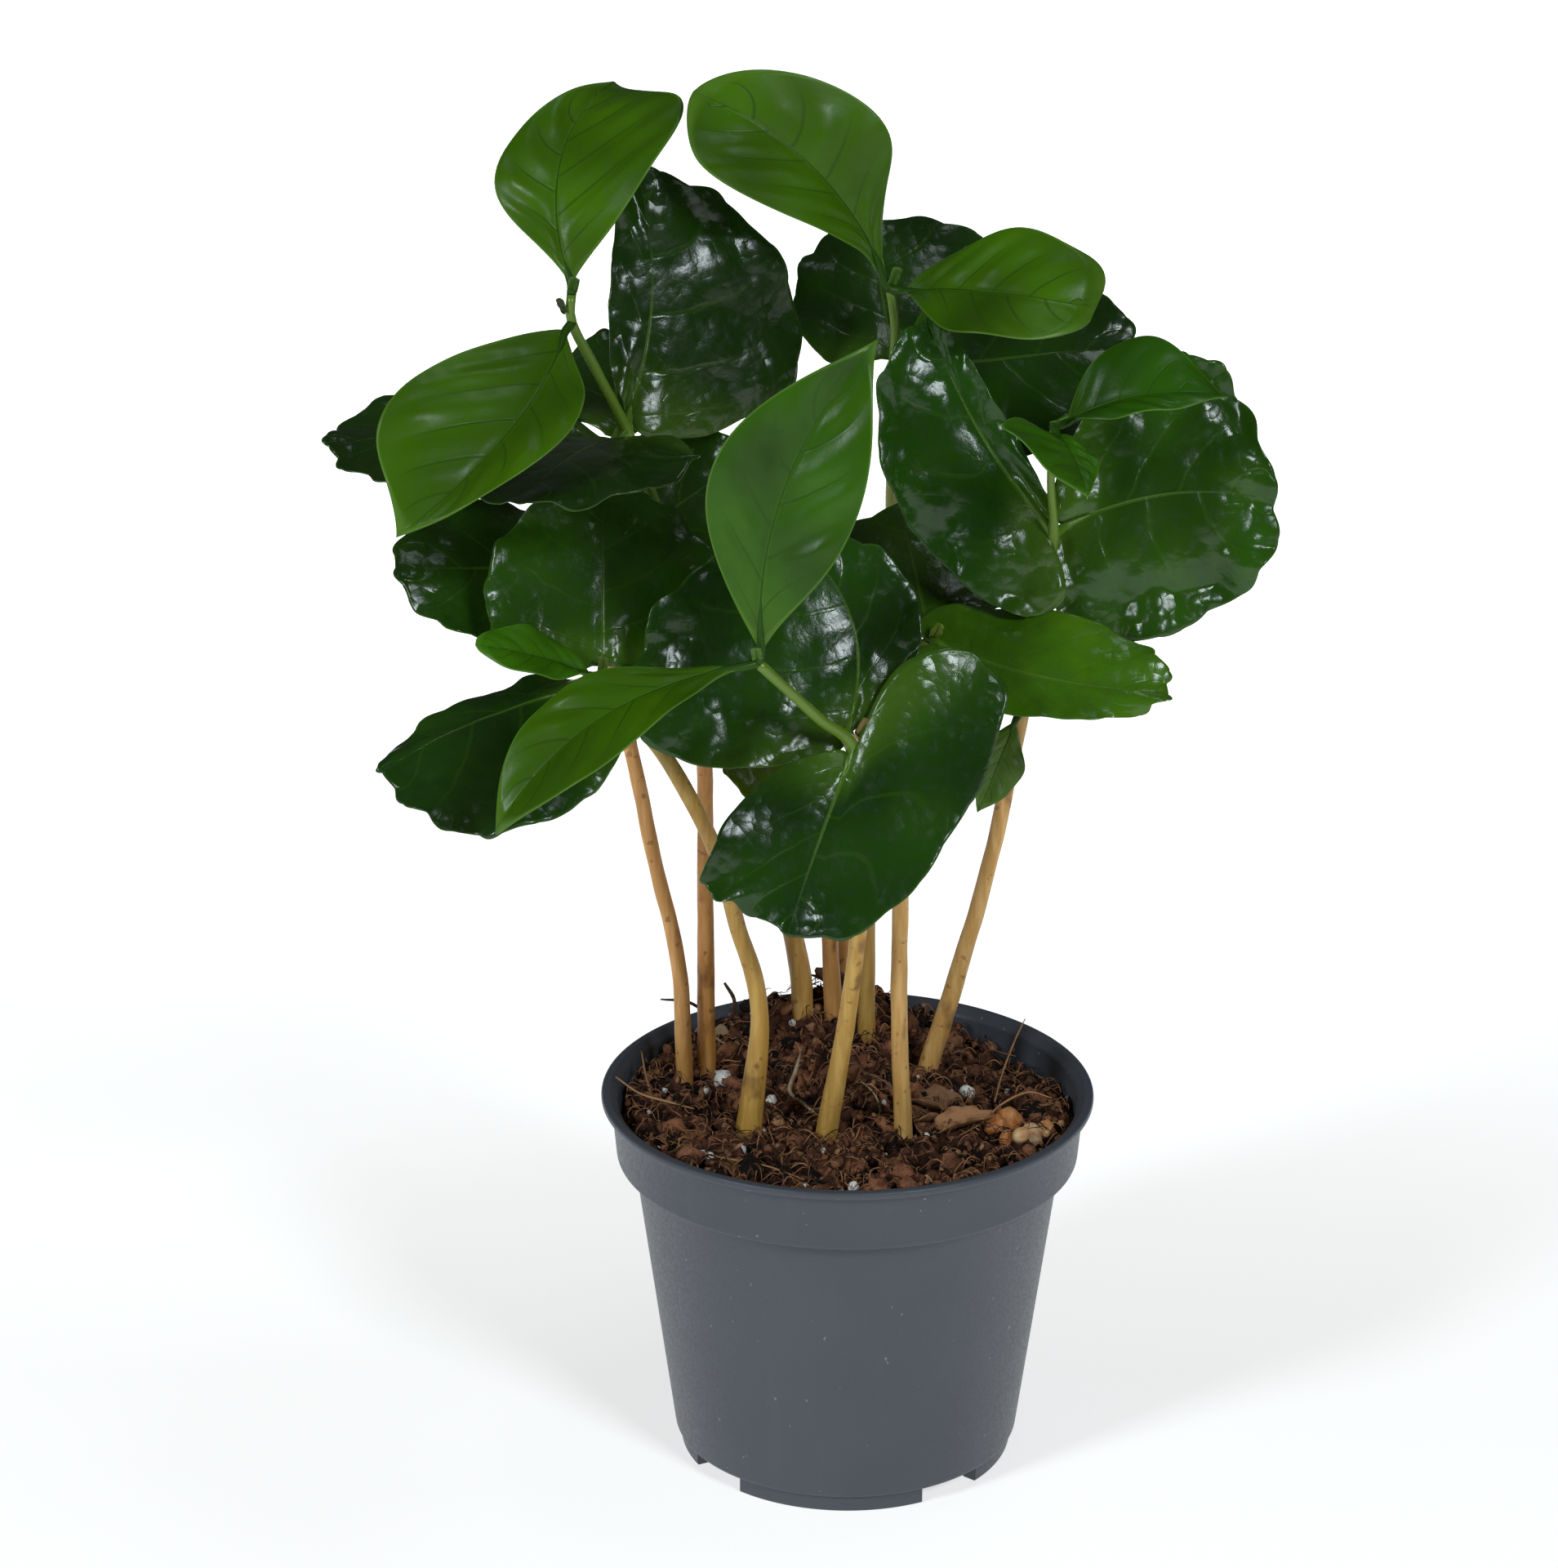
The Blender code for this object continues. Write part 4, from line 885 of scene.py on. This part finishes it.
def makeLeaves():
    # Every leaf's own values laid over those of its kind
    kinds = {
        "true": (trueLeaf, trueLook, makeLeafMaterial("trueLeafGreen", trueLook)),
        "seed": (seedLeaf, seedLook, makeLeafMaterial("seedLeafGreen", seedLook)),
    }
    for number, (name, own) in enumerate(leafTable.items()):
        kind, _, letter, which = name.split("_")
        form, look, material = kinds[kind]
        at = stemTable[letter]["node"] if kind == "seed" else len(stemTable[letter]["route"]) - 1
        leaf = {**form, "stem": letter, "at": at, "phase": 1.7 * number}
        leaf.update(arch=look["arch"], veins=look["veins"], **own)
        shape = joined([makeLeafShape(leaf), makeStalk(leaf)])
        place(kind + "Leaf" + letter.upper() + which, shape, material, [name])
    for name, own in budTable.items():
        place(name, makeLeafShape({**trueLeaf, **bud, **own}), kinds["true"][2])
    print("leaves made:", len(leafTable), "and", len(budTable), "buds and scales")


makeStems()
makeLeaves()


# Pot

potForm = dict(
    height=70.7, rimRadius=45.0, lipHeight=1.5, bandTopRadius=43.2, bandBottomRadius=42.3, bandHeight=12.4,
    bodyTopRadius=39.2, bodyBottomRadius=31.9, wall=1.2, edge=0.35, ledgeDrop=0.7, floorCorner=1.2,
    floorTop=4.9, footHeight=3.3, footSunk=0.8, footRadius=30.8, footWidth=3.0, padRadius=8.0, plateEdge=28.5,
    notchAngle=38.3, notchWidth=12.2, drainRadius=3.0, drainPlace=19.0, steps=180,
    colour=(0.069, 0.077, 0.093), colourPale=(0.086, 0.096, 0.113), colourDark=(0.052, 0.058, 0.071),
    speck=(0.26, 0.28, 0.32),
)
potSizes = SimpleNamespace(**potForm)


def roundedProfile(corners, reach):
    # Each corner becomes three points: one before it, one after it and one between them and the corner
    corners = np.array(corners, float)
    before, here, after = corners[:-2], corners[1:-1], corners[2:]
    back = np.minimum(reach, np.linalg.norm(before - here, axis=1) * 0.4)[:, None] * unit(before - here)
    ahead = np.minimum(reach, np.linalg.norm(after - here, axis=1) * 0.4)[:, None] * unit(after - here)
    soft = np.stack((here + back, here + (back + ahead) * 0.29, here + ahead), axis=1).reshape(-1, 2)
    return np.concatenate([corners[:1], soft, corners[-1:]])


def turned(profile, steps, start=0.0, sweep=2 * math.pi):
    # Point = (radius * cos turn, radius * sin turn, height), the profile's radius and height at every turn
    closed = sweep > 6.28
    turn = start + np.arange(steps) * sweep / (steps if closed else steps - 1)
    radius, height = profile[:, 0][:, None], profile[:, 1][:, None]
    points = np.stack((radius * np.cos(turn), radius * np.sin(turn), height + 0 * turn), axis=-1)
    return asShape(points, gridFaces(len(profile), steps, closed=closed))


def drainPlate(middle):
    # A quarter of the floor around its drain hole: point = (1 - share) * hole's circle + share * quarter's
    # edge, all as (radius, turn)
    form, steps, rings = potSizes, 64, 9
    around = np.arange(steps) * 2 * math.pi / steps + math.pi / steps
    holeX, holeY = form.drainPlace + form.drainRadius * np.cos(around), form.drainRadius * np.sin(around)
    circle = np.stack((np.hypot(holeX, holeY), np.arctan2(holeY, holeX)), axis=-1)
    outward, inward = form.plateEdge - form.drainPlace, form.drainPlace - form.padRadius + 1
    outer = np.where(np.cos(around) > 0, outward, inward)
    sideways = np.abs(np.sin(around)) / (math.pi / 4 * form.drainPlace)
    reach = 1 / np.maximum(np.abs(np.cos(around)) / outer, sideways)
    edgeX, edgeTurn = form.drainPlace + reach * np.cos(around), reach * np.sin(around) / form.drainPlace
    edge = np.stack((edgeX, edgeTurn), axis=-1)
    share = np.linspace(0, 1, rings)[:, None, None]
    radius, turn = np.moveaxis((1 - share) * circle + share * edge, -1, 0)
    turn = turn + math.radians(middle)
    ground = np.full_like(radius, form.footHeight)
    low = np.stack((radius * np.cos(turn), radius * np.sin(turn), ground), axis=-1)
    high = low + (0, 0, form.floorTop - form.footHeight)
    faces = gridFaces(rings, steps, closed=True)
    first, count = np.arange(steps), rings * steps
    after = np.roll(first, -1)
    hole = np.stack((first, after, after + count, first + count), axis=-1)
    return asShape(np.concatenate([low, high]), np.concatenate([faces, faces[:, ::-1] + count, hole]))


def makePotMaterial():
    # Moulded plastic: a fine grain in the gloss, faint pale specks and slow changes of tone
    material, tree, shader = newMaterial("potPlastic", 0.4, 0.3)
    slow = noise(tree, 28, 3)
    grain = noise(tree, 1500, 3)
    specks = noise(tree, 700, 1)
    drawn = noise(tree, 260, 3, (1, 1, 0.05))
    clouds = smoothStep(tree, slow, 0.35, 0.65, 0, 0.35)
    colour = mixed(tree, clouds, potForm["colour"], potForm["colourDark"])
    colour = mixed(tree, smoothStep(tree, drawn, 0.55, 0.8, 0, 0.25), colour, potForm["colourPale"])
    colour = mixed(tree, smoothStep(tree, specks, 0.76, 0.80, 0, 0.6), colour, potForm["speck"])
    tree.links.new(colour, shader.inputs["Base Color"])
    tree.links.new(smoothStep(tree, grain, 0.3, 0.7, 0.36, 0.5), shader.inputs["Roughness"])
    raised(tree, shader, grain, 0.03, 0.5)
    return material


def potProfile():
    # Half a section through the wall: up the inside from the floor, over the lip and down the outside
    form = potSizes
    lip, band = form.height - form.lipHeight, form.height - form.bandHeight
    wall, edge, bottom, rim = form.wall, form.edge, form.bodyBottomRadius, form.rimRadius
    return [
        (form.plateEdge, form.floorTop),
        (bottom - wall - form.floorCorner, form.floorTop),
        (bottom - wall, form.floorTop + form.floorCorner),
        (form.bodyTopRadius - wall, band + wall - form.ledgeDrop),
        (form.bandBottomRadius - wall, band + wall),
        (form.bandTopRadius - wall, lip),
        (rim - form.lipHeight - edge, form.height - edge),
        (rim - form.lipHeight, form.height),
        (rim - edge, form.height),
        (rim, form.height - edge),
        (rim, lip + edge),
        (rim - edge, lip),
        (form.bandTopRadius, lip - edge),
        (form.bandBottomRadius, band + edge),
        (form.bandBottomRadius - edge, band),
        (form.bodyTopRadius, band - edge),
        (bottom, form.footHeight + edge),
        (bottom - edge, form.footHeight),
        (form.plateEdge, form.footHeight),
    ]


def footShape(quarter):
    # A low wall along an arc between two notches, its section closed at the top and at both ends
    form, columns = potSizes, 40
    gap = 2 * math.asin(form.notchWidth / 2 / (form.footRadius - form.footWidth / 2))
    inner, outer, top = form.footRadius - form.footWidth, form.footRadius, form.footHeight + form.footSunk
    section = roundedProfile([(inner, top), (inner, 0), (outer, 0), (outer, top)], 0.35)
    start = math.radians(form.notchAngle - 90 + 90 * quarter) + gap / 2
    foot = turned(section, columns, start, math.pi / 2 - gap)
    rows = len(section)
    number = np.arange(rows * columns).reshape(rows, columns)
    close = np.stack((number[-1, :-1], number[-1, 1:], number[0, 1:], number[0, :-1]), axis=-1)
    foot["quads"] = np.concatenate([foot["quads"], close])
    fans = []
    for ring in number.T[[0, -1]]:
        fans.append(np.stack((np.full(rows - 2, ring[0]), ring[1:-1], ring[2:]), axis=-1))
    foot["tris"] = np.concatenate([fans[0], fans[1][:, ::-1]])
    return foot


def padShape():
    # A low round post from the floor down to the level of the feet, with a pole in each face
    radius, top, steps = potSizes.padRadius, potSizes.floorTop, 48
    pad = turned(roundedProfile([(0, 0), (radius, 0), (radius, top), (0, top)], 0.35)[1:-1], steps)
    count = len(pad["points"])
    pad["points"] = np.concatenate([pad["points"], [(0, 0, 0), (0, 0, top)]])
    around = np.arange(steps)
    after = np.roll(around, -1)
    low = np.stack((after, around, np.full(steps, count)), axis=-1)
    high = np.stack((count - steps + around, count - steps + after, np.full(steps, count + 1)), axis=-1)
    pad["tris"] = np.concatenate([low, high])
    return pad


def makePot():
    # The wall's faces are turned to look outwards, because its profile starts inside
    body = turned(roundedProfile(potProfile(), 0.5), potForm["steps"])
    body["quads"] = body["quads"][:, ::-1]
    plates = [drainPlate(potForm["notchAngle"] - 90 + 90 * quarter) for quarter in range(4)]
    feet = [footShape(quarter) for quarter in range(4)]
    shape = joined([body, *plates, *feet, padShape()])
    pot = place("potShell", shape, makePotMaterial(), ["pot"])
    pot.data.set_sharp_from_angle(angle=math.radians(50))
    print("pot made")


makePot()


# Soil

soilForm = dict(
    level=66.5, topRadius=41.5, cells=150, bottom=50.0, bottomRadius=33.0,
    # each swell: middle x and y, reach in x and y, height
    swells=(
        (-3, 35, 20, 12, 8.2), (0, 8, 24, 24, 3.0), (-38, 0, 10, 20, 1.5), (32, 22, 14, 16, -2.5),
        (24, -18, 7, 6, 1.6), (-22, -22, 8, 6, 1.2),
    ),
    crumbHeight=0.7, crumbWaves=((0.55, 0.9), (0.8, -0.5), (1.3, 0.3)),
    crumbs=1700, lumps=150, fibres=1500, smallPerlite=44, reach=40.3,
    fibreReach=40.5, fibreBend=1.6, fibreLength=(1.2, 6.0), fibreLift=(-0.2, 1.4), fibreRadius=(0.06, 0.15),
    peat=(0.115, 0.044, 0.023), peatRed=(0.255, 0.104, 0.052), peatDark=(0.010, 0.006, 0.004),
    coir=(0.36, 0.185, 0.09), perliteColour=(0.80, 0.78, 0.74), fibreColour=(0.34, 0.165, 0.075),
)
soilExtras = dict(
    # x, y and radius of each grain
    perlite=[
        (-19.7, -19.3, 1.5), (-29.5, 8.5, 2.4), (-23, 9.5, 2.1), (0.6, -33.5, 1.2), (6.4, -33.8, 1.5),
        (-6.5, -22, 0.9), (-26, 4, 0.9), (-14, 0, 1.2), (15, 2, 1.1), (22, 3.5, 1.5), (-25, -21, 0.9),
        (10, -28, 0.9), (30, 10, 0.9), (35, 3, 1.0),
    ],
    prills=[
        (26.3, -10.5, 1.9), (29.2, -7.9, 2.4), (33.2, -11.6, 2.5), (28.8, -14.0, 2.0), (31.0, -16.3, 1.9),
        (35.6, -9.4, 1.9),
    ],
    prillColours=[(0.60, 0.27, 0.09), (0.72, 0.47, 0.25)],
    # radius, colour and the points of each route
    longFibres=[
        (0.22, (0.42, 0.22, 0.10), [(27, 0, 67.5), (28.5, 4, 71.5), (31, 9, 76), (33, 12, 79)]),
        (0.26, (0.45, 0.23, 0.10), [
            (37.5, -1, 68.8), (33, -1.5, 70.2), (28, -5, 69.4), (24, -11, 68.4), (20, -14.5, 67.6),
        ]),
        (0.25, (0.44, 0.26, 0.12), [(-42.5, 3, 71.3), (-38, 0, 69.3), (-33, -2, 68.6), (-28, -3, 67.6)]),
        (0.2, (0.36, 0.19, 0.09), [(-38, 12, 72.5), (-37, 6, 70), (-35.5, 0, 67.6)]),
        (0.42, (0.50, 0.38, 0.24), [
            (-8.5, 10, 73), (-9.5, 5, 71.5), (-10.5, 0, 69.8), (-8, -4, 69), (-5.5, -6.5, 68),
        ]),
        (0.2, (0.40, 0.21, 0.09), [(-33, -16, 67.5), (-24, -24, 68), (-15, -28, 68), (-8, -32.5, 67.4)]),
        (0.5, (0.055, 0.026, 0.016), [
            (-26, 16, 66), (-27.5, 16, 72), (-24, 16, 76.5), (-21.5, 16, 77.5), (-20.8, 16, 81),
            (-22.6, 16, 84.5),
        ]),
        (0.3, (0.055, 0.026, 0.016), [(-24, 16, 76.5), (-29, 16, 80.5), (-34.5, 16, 81.2)]),
        (0.24, (0.46, 0.34, 0.22), [(2.5, 3, 70.5), (5, -2, 70), (5.8, -7, 68.7), (4, -11, 67.5)]),
        (0.25, (0.16, 0.09, 0.06), [(3, 5, 71.5), (8, 1, 70.3), (9.5, -6, 68.2)]),
    ],
    # x, y, lift, length, width, turn, tilt, curl and colour of each scrap
    flakes=[
        (17.5, -4.0, 2.0, 13, 9, 65, 12, 75, (0.27, 0.14, 0.07)),
        (21.0, -12.0, 1.6, 11, 8, 100, -14, 70, (0.36, 0.18, 0.08)),
        (14.0, -8.0, 1.8, 10, 7, 140, 20, 80, (0.24, 0.12, 0.06)),
        (14.5, -11.5, 1.0, 8, 6, 20, 20, 80, (0.22, 0.10, 0.05)),
        (-27.0, -14.0, 0.8, 8, 6, 120, 10, 60, (0.26, 0.12, 0.05)),
        (-20.0, -26.5, 0.6, 7, 5, 40, 15, 55, (0.20, 0.09, 0.04)),
        (8.0, -25.0, 0.6, 6, 5, 150, 15, 60, (0.18, 0.08, 0.035)),
        (-2.0, 33.0, 1.2, 9, 7, 80, 25, 70, (0.12, 0.06, 0.03)),
        (20.0, 26.0, 0.8, 8, 5, 20, 20, 60, (0.20, 0.09, 0.04)),
        (-24.0, 26.0, 0.8, 9, 6, 60, 10, 60, (0.30, 0.20, 0.12)),
    ],
)


def soilHeight(x, y):
    # The sum of round swells and three crossing waves
    height = soilForm["level"] + 0 * x
    for middleX, middleY, reachX, reachY, rise in soilForm["swells"]:
        height = height + rise * np.exp(-(((x - middleX) / reachX) ** 2) - ((y - middleY) / reachY) ** 2)
    for number, (alongX, alongY) in enumerate(soilForm["crumbWaves"]):
        height = height + soilForm["crumbHeight"] / 2 * np.sin(alongX * x + alongY * y + number)
    return height


def soilSurface(x, y):
    # The mound with lumps and pits: ridged relief at three sizes
    lumps = 1 - np.abs(ripple(x, y, 11, 16, 8, 18)) * 1.4
    clods = 1 - np.abs(ripple(x, y, 12, 18, 3.5, 7)) * 1.4
    grains = ripple(x, y, 13, 22, 1.6, 3.2)
    return soilHeight(x, y) + 1.1 * (lumps - 0.4) + 0.7 * (clods - 0.4) + 0.28 * grains - 0.6


def makeGrainMaterial(name, roughness, dark, pale, depth, specular=0.3):
    # The tint that each grain carries, mottled towards a darker and a paler one
    material, tree, shader = newMaterial(name, roughness, specular)
    tint = attribute(tree, "tint", "Color")
    fine, broad = noise(tree, 1500, 5), noise(tree, 380, 4)
    colour = mixed(tree, smoothStep(tree, broad, 0.42, 0.68, 0, 0.85), tint, dark, "MULTIPLY")
    colour = mixed(tree, smoothStep(tree, fine, 0.55, 0.75, 0, 0.5), colour, pale)
    tree.links.new(colour, shader.inputs["Base Color"])
    raised(tree, shader, fine, depth, 0.9)
    return material


def ball(subdivisions):
    # A ball of even triangles on the unit sphere
    bm = bmesh.new()
    bmesh.ops.create_icosphere(bm, subdivisions=subdivisions, radius=1)
    points = np.array([vert.co for vert in bm.verts])
    faces = np.array([[vert.index for vert in face.verts] for face in bm.faces])
    bm.free()
    return points, faces


def repeated(faces, copies, each):
    # The same faces once for each copy, numbers moved up by the points of the copies before
    return (faces[None] + (np.arange(copies) * each)[:, None, None]).reshape(-1, faces.shape[1])


def scattered(places, sizes, tints, base, rough, stretch, seed):
    # Each copy = place + size * (turned at random (base pitted by rough, stretched three ways))
    rng = np.random.default_rng(seed)
    points, faces = base
    count = len(places)
    turns = np.linalg.qr(rng.normal(size=(count, 3, 3)))[0]
    turns = turns * np.sign(np.linalg.det(turns))[:, None, None]
    pitted = points * (1 + rough * rng.uniform(-1, 1, (count, len(points), 1)))
    local = (pitted * rng.uniform(*stretch, (count, 1, 3))) @ turns
    placed = places[:, None] + local * sizes[:, None, None]
    colours = np.ones((count, len(points), 4))
    colours[..., :3] = tints[:, None]
    return asShape(placed, tris=repeated(faces, count, len(points)), tint=colours.reshape(-1, 4))


def strands(paths, radius, tints, sides=4):
    # Thin rods on many paths: path + radius * (cos turn * across - sin turn * up), thinner at the ends
    count, steps, _ = paths.shape
    along = unit(np.gradient(paths, axis=1))
    across = unit(np.cross(along, (0.1, 0.2, 1.0)))
    up = np.cross(across, along)
    turn = np.arange(sides) * 2 * math.pi / sides
    taper = np.sin(np.linspace(0.25, math.pi - 0.25, steps)) ** 0.5
    ring = np.cos(turn)[:, None] * across[:, :, None] - np.sin(turn)[:, None] * up[:, :, None]
    points = paths[:, :, None] + ring * (radius[:, None] * taper)[..., None, None]
    quads = gridFaces(steps, sides, closed=True)
    ends = np.array([np.arange(sides)[::-1], np.arange(sides) + (steps - 1) * sides])
    faces = np.concatenate([quads, ends]) if sides == 4 else quads
    colours = np.ones((count, steps * sides, 4))
    colours[..., :3] = tints[:, None]
    return asShape(points, repeated(faces, count, steps * sides), tint=colours.reshape(-1, 4))


def onSoil(count, seed, reach=soilForm["reach"]):
    # Even random places on the surface: radius is reach * root of an even number
    rng = np.random.default_rng(seed)
    turn = rng.uniform(0, 2 * math.pi, count)
    radius = reach * np.sqrt(rng.uniform(0, 1, count))
    x, y = radius * np.cos(turn), radius * np.sin(turn)
    return np.stack((x, y, soilSurface(x, y)), axis=-1)


def pickTints(count, seed, colours, spread=0.3):
    # One of the colours for each grain, darker or lighter by up to the spread
    rng = np.random.default_rng(seed)
    picked = np.array(colours)[rng.integers(0, len(colours), count)]
    return picked * rng.uniform(1 - spread, 1 + spread, (count, 1))


def makeSoilBody():
    # A square of cells drawn in to a disc and raised to the surface, its edge carried down the pot's wall; the
    # peat is darkened below the smooth mound as painted shade
    form = soilForm
    line = np.linspace(-1, 1, form["cells"] + 1)
    a, b = np.meshgrid(line, line)
    p, q = discPoint(a, b)
    x, y = p * form["topRadius"], q * form["topRadius"]
    rim = np.hypot(p, q)
    top = np.stack((x, y, soilSurface(x, y) - 0.8 * rim**12), axis=-1).reshape(-1, 3)
    edge = squareEdge(*a.shape)
    outward = unit(top[edge] * (1, 1, 0))
    low = outward * form["bottomRadius"] + (0, 0, form["bottom"])
    below = len(top) + np.arange(len(edge))
    wall = np.stack((edge, below, np.roll(below, -1), np.roll(edge, -1)), axis=-1)
    middle = len(top) + len(edge)
    floor = np.stack((np.roll(below, -1), below, np.full(len(edge), middle)), axis=-1)
    points = np.concatenate([top, low, [(0, 0, form["bottom"])]])
    # Painted shade: the peat grows up to 92 per cent darker where a point lies below the smooth mound, in the
    # pits between clods and down the wall
    pitShade = np.clip((soilHeight(points[:, 0], points[:, 1]) - points[:, 2]) / 1.5, 0, 1)[:, None]
    tints = np.ones((len(points), 4))
    tints[:, :3] = np.array(form["peat"]) * (1 - 0.92 * pitShade)
    return asShape(points, np.concatenate([gridFaces(*a.shape), wall]), floor, tint=tints)


def makeCrumbs(rng):
    # Small crumbs and larger lumps: number, reach, lift, least and most radius, pits, stretch and colours
    form = soilForm
    peats = [form["peat"], form["peatRed"], form["peatRed"], form["peatDark"], form["coir"]]
    crumbs = (form["crumbs"], form["reach"], 0.15, (0.35, 1.0), 0.5, (0.4, 1.4), peats)
    lumps = (form["lumps"], 39, -0.3, (1.2, 2.6), 0.22, (0.5, 1.2), peats[:4])
    made = []
    for seed, (count, reach, lift, sizes, rough, stretch, colours) in enumerate((crumbs, lumps), 1):
        spots = onSoil(count, 20 + seed, reach) + (0, 0, lift)
        tints, radii = pickTints(count, 30 + seed, colours), rng.uniform(*sizes, count)
        made.append(scattered(spots, radii, tints, ball(seed), rough, stretch, 40 + seed))
    return joined(made)


def makeFibres(rng):
    # Bent fibres whose heading goes from turn to turn + bend, lifted by height * sin(pi * share)
    form, steps = soilForm, 7
    count = form["fibres"]
    spots = onSoil(count, 23)
    turn = rng.uniform(0, 2 * math.pi, count)[:, None]
    bend = rng.uniform(-form["fibreBend"], form["fibreBend"], count)[:, None]
    length = rng.uniform(*form["fibreLength"], count)[:, None]
    share = np.linspace(0, 1, steps)[None, :]
    heading = turn + bend * share
    x = spots[:, :1] + length * np.cumsum(np.cos(heading), axis=1) / steps
    y = spots[:, 1:2] + length * np.cumsum(np.sin(heading), axis=1) / steps
    inside = np.minimum(1, form["fibreReach"] / np.maximum(np.hypot(x, y), 1e-6))
    x, y = x * inside, y * inside
    height = rng.uniform(*form["fibreLift"], count)[:, None] * np.sin(math.pi * share)
    paths = np.stack((x, y, soilHeight(x, y) + 0.5 + height), axis=-1)
    tints = pickTints(count, 33, [form["fibreColour"], form["peatRed"], form["peatDark"]], 0.4)
    return strands(paths, rng.uniform(*form["fibreRadius"], count), tints)


def makeFlake(x, y, lift, length, width, turn, tilt, curl, tint):
    # A scrap of dry leaf 0.3 mm thick: a pointed oval rolled on a circle across its width, turned and tilted
    u, v = np.meshgrid(np.linspace(-1, 1, 11), np.linspace(-1, 1, 15))
    p, q = discPoint(u, v)
    angle = math.radians(curl) * p * (1 + 0.3 * q)
    sine, cosine = np.sin(angle), np.cos(angle)
    radius = width / 2 / math.radians(curl)
    ragged = 1 + 0.12 * np.sin(9 * np.arctan2(p, q) + x) * np.hypot(p, q) ** 4
    local = np.stack((radius * sine * ragged, q * length / 2 * ragged, radius * (1 - cosine)), axis=-1)
    outward = np.stack((sine, 0 * angle, -cosine), axis=-1) * 0.15
    thick = np.concatenate([(local - outward).reshape(-1, 3), (local + outward).reshape(-1, 3)])
    tilt, turn = math.radians(tilt), math.radians(turn)
    tip = np.array([(1, 0, 0), (0, math.cos(tilt), math.sin(tilt)), (0, -math.sin(tilt), math.cos(tilt))])
    spin = np.array([(math.cos(turn), math.sin(turn), 0), (-math.sin(turn), math.cos(turn), 0), (0, 0, 1)])
    ground = float(soilSurface(np.array(x), np.array(y)))
    points = thick @ tip @ spin + (x, y, ground + lift)
    return asShape(points, skinFaces(*u.shape), tint=np.tile([*tint, 1.0], (len(points), 1)))


def grainSpots(grains, lift):
    # The places and radii of grains that lie lift times their radius above the surface
    x, y, radii = np.array(grains).T
    return np.stack((x, y, soilSurface(x, y) + lift * radii), axis=-1), radii


def makeSoil():
    # The body and what lies in its surface; the pieces that draw at random share one row of numbers
    form, extras, rng = soilForm, soilExtras, np.random.default_rng(5)
    peat = makeGrainMaterial("dampPeat", 0.92, (0.35, 0.3, 0.3), form["peatRed"], 0.5, 0.2)
    place("soilBody", makeSoilBody(), peat, ["soil"])
    place("soilCrumbs", makeCrumbs(rng), peat)

    dry = makeGrainMaterial("dryFibre", 0.7, (0.6, 0.55, 0.5), form["fibreColour"], 0.1)
    place("soilFibres", makeFibres(rng), dry)
    rods = []
    for radius, tint, route in extras["longFibres"]:
        rods.append(strands(curveThrough(route, 0.8)[None], np.array([radius]), np.array([tint])))
    place("longFibres", joined(rods), dry)

    white = makeGrainMaterial("perlite", 0.85, (0.72, 0.7, 0.7), (0.85, 0.85, 0.84), 0.35)
    spots, radii = grainSpots(extras["perlite"], 0.4)
    spots = np.concatenate([spots, onSoil(form["smallPerlite"], 24) + (0, 0, 0.45)])
    radii = np.concatenate([radii, rng.uniform(0.25, 0.75, form["smallPerlite"])])
    tints = pickTints(len(spots), 34, [form["perliteColour"]], 0.12)
    place("perliteGrains", scattered(spots, radii, tints, ball(2), 0.14, (0.75, 1.1), 44), white)

    rust = makeGrainMaterial("rustyPrill", 0.6, (0.75, 0.38, 0.14), (0.75, 0.68, 0.55), 0.3)
    spots, radii = grainSpots(extras["prills"], 0.5)
    tints = pickTints(len(spots), 35, extras["prillColours"], 0.1)
    place("rustyPrills", scattered(spots, radii, tints, ball(3), 0.06, (0.75, 1.15), 45), rust)

    scrap = makeGrainMaterial("dryScrap", 0.75, (0.5, 0.42, 0.35), form["fibreColour"], 0.2)
    place("dryScraps", joined([makeFlake(*flake) for flake in extras["flakes"]]), scrap)
    print("soil made:", form["crumbs"] + form["lumps"], "crumbs,", len(extras["flakes"]), "scraps")


makeSoil()
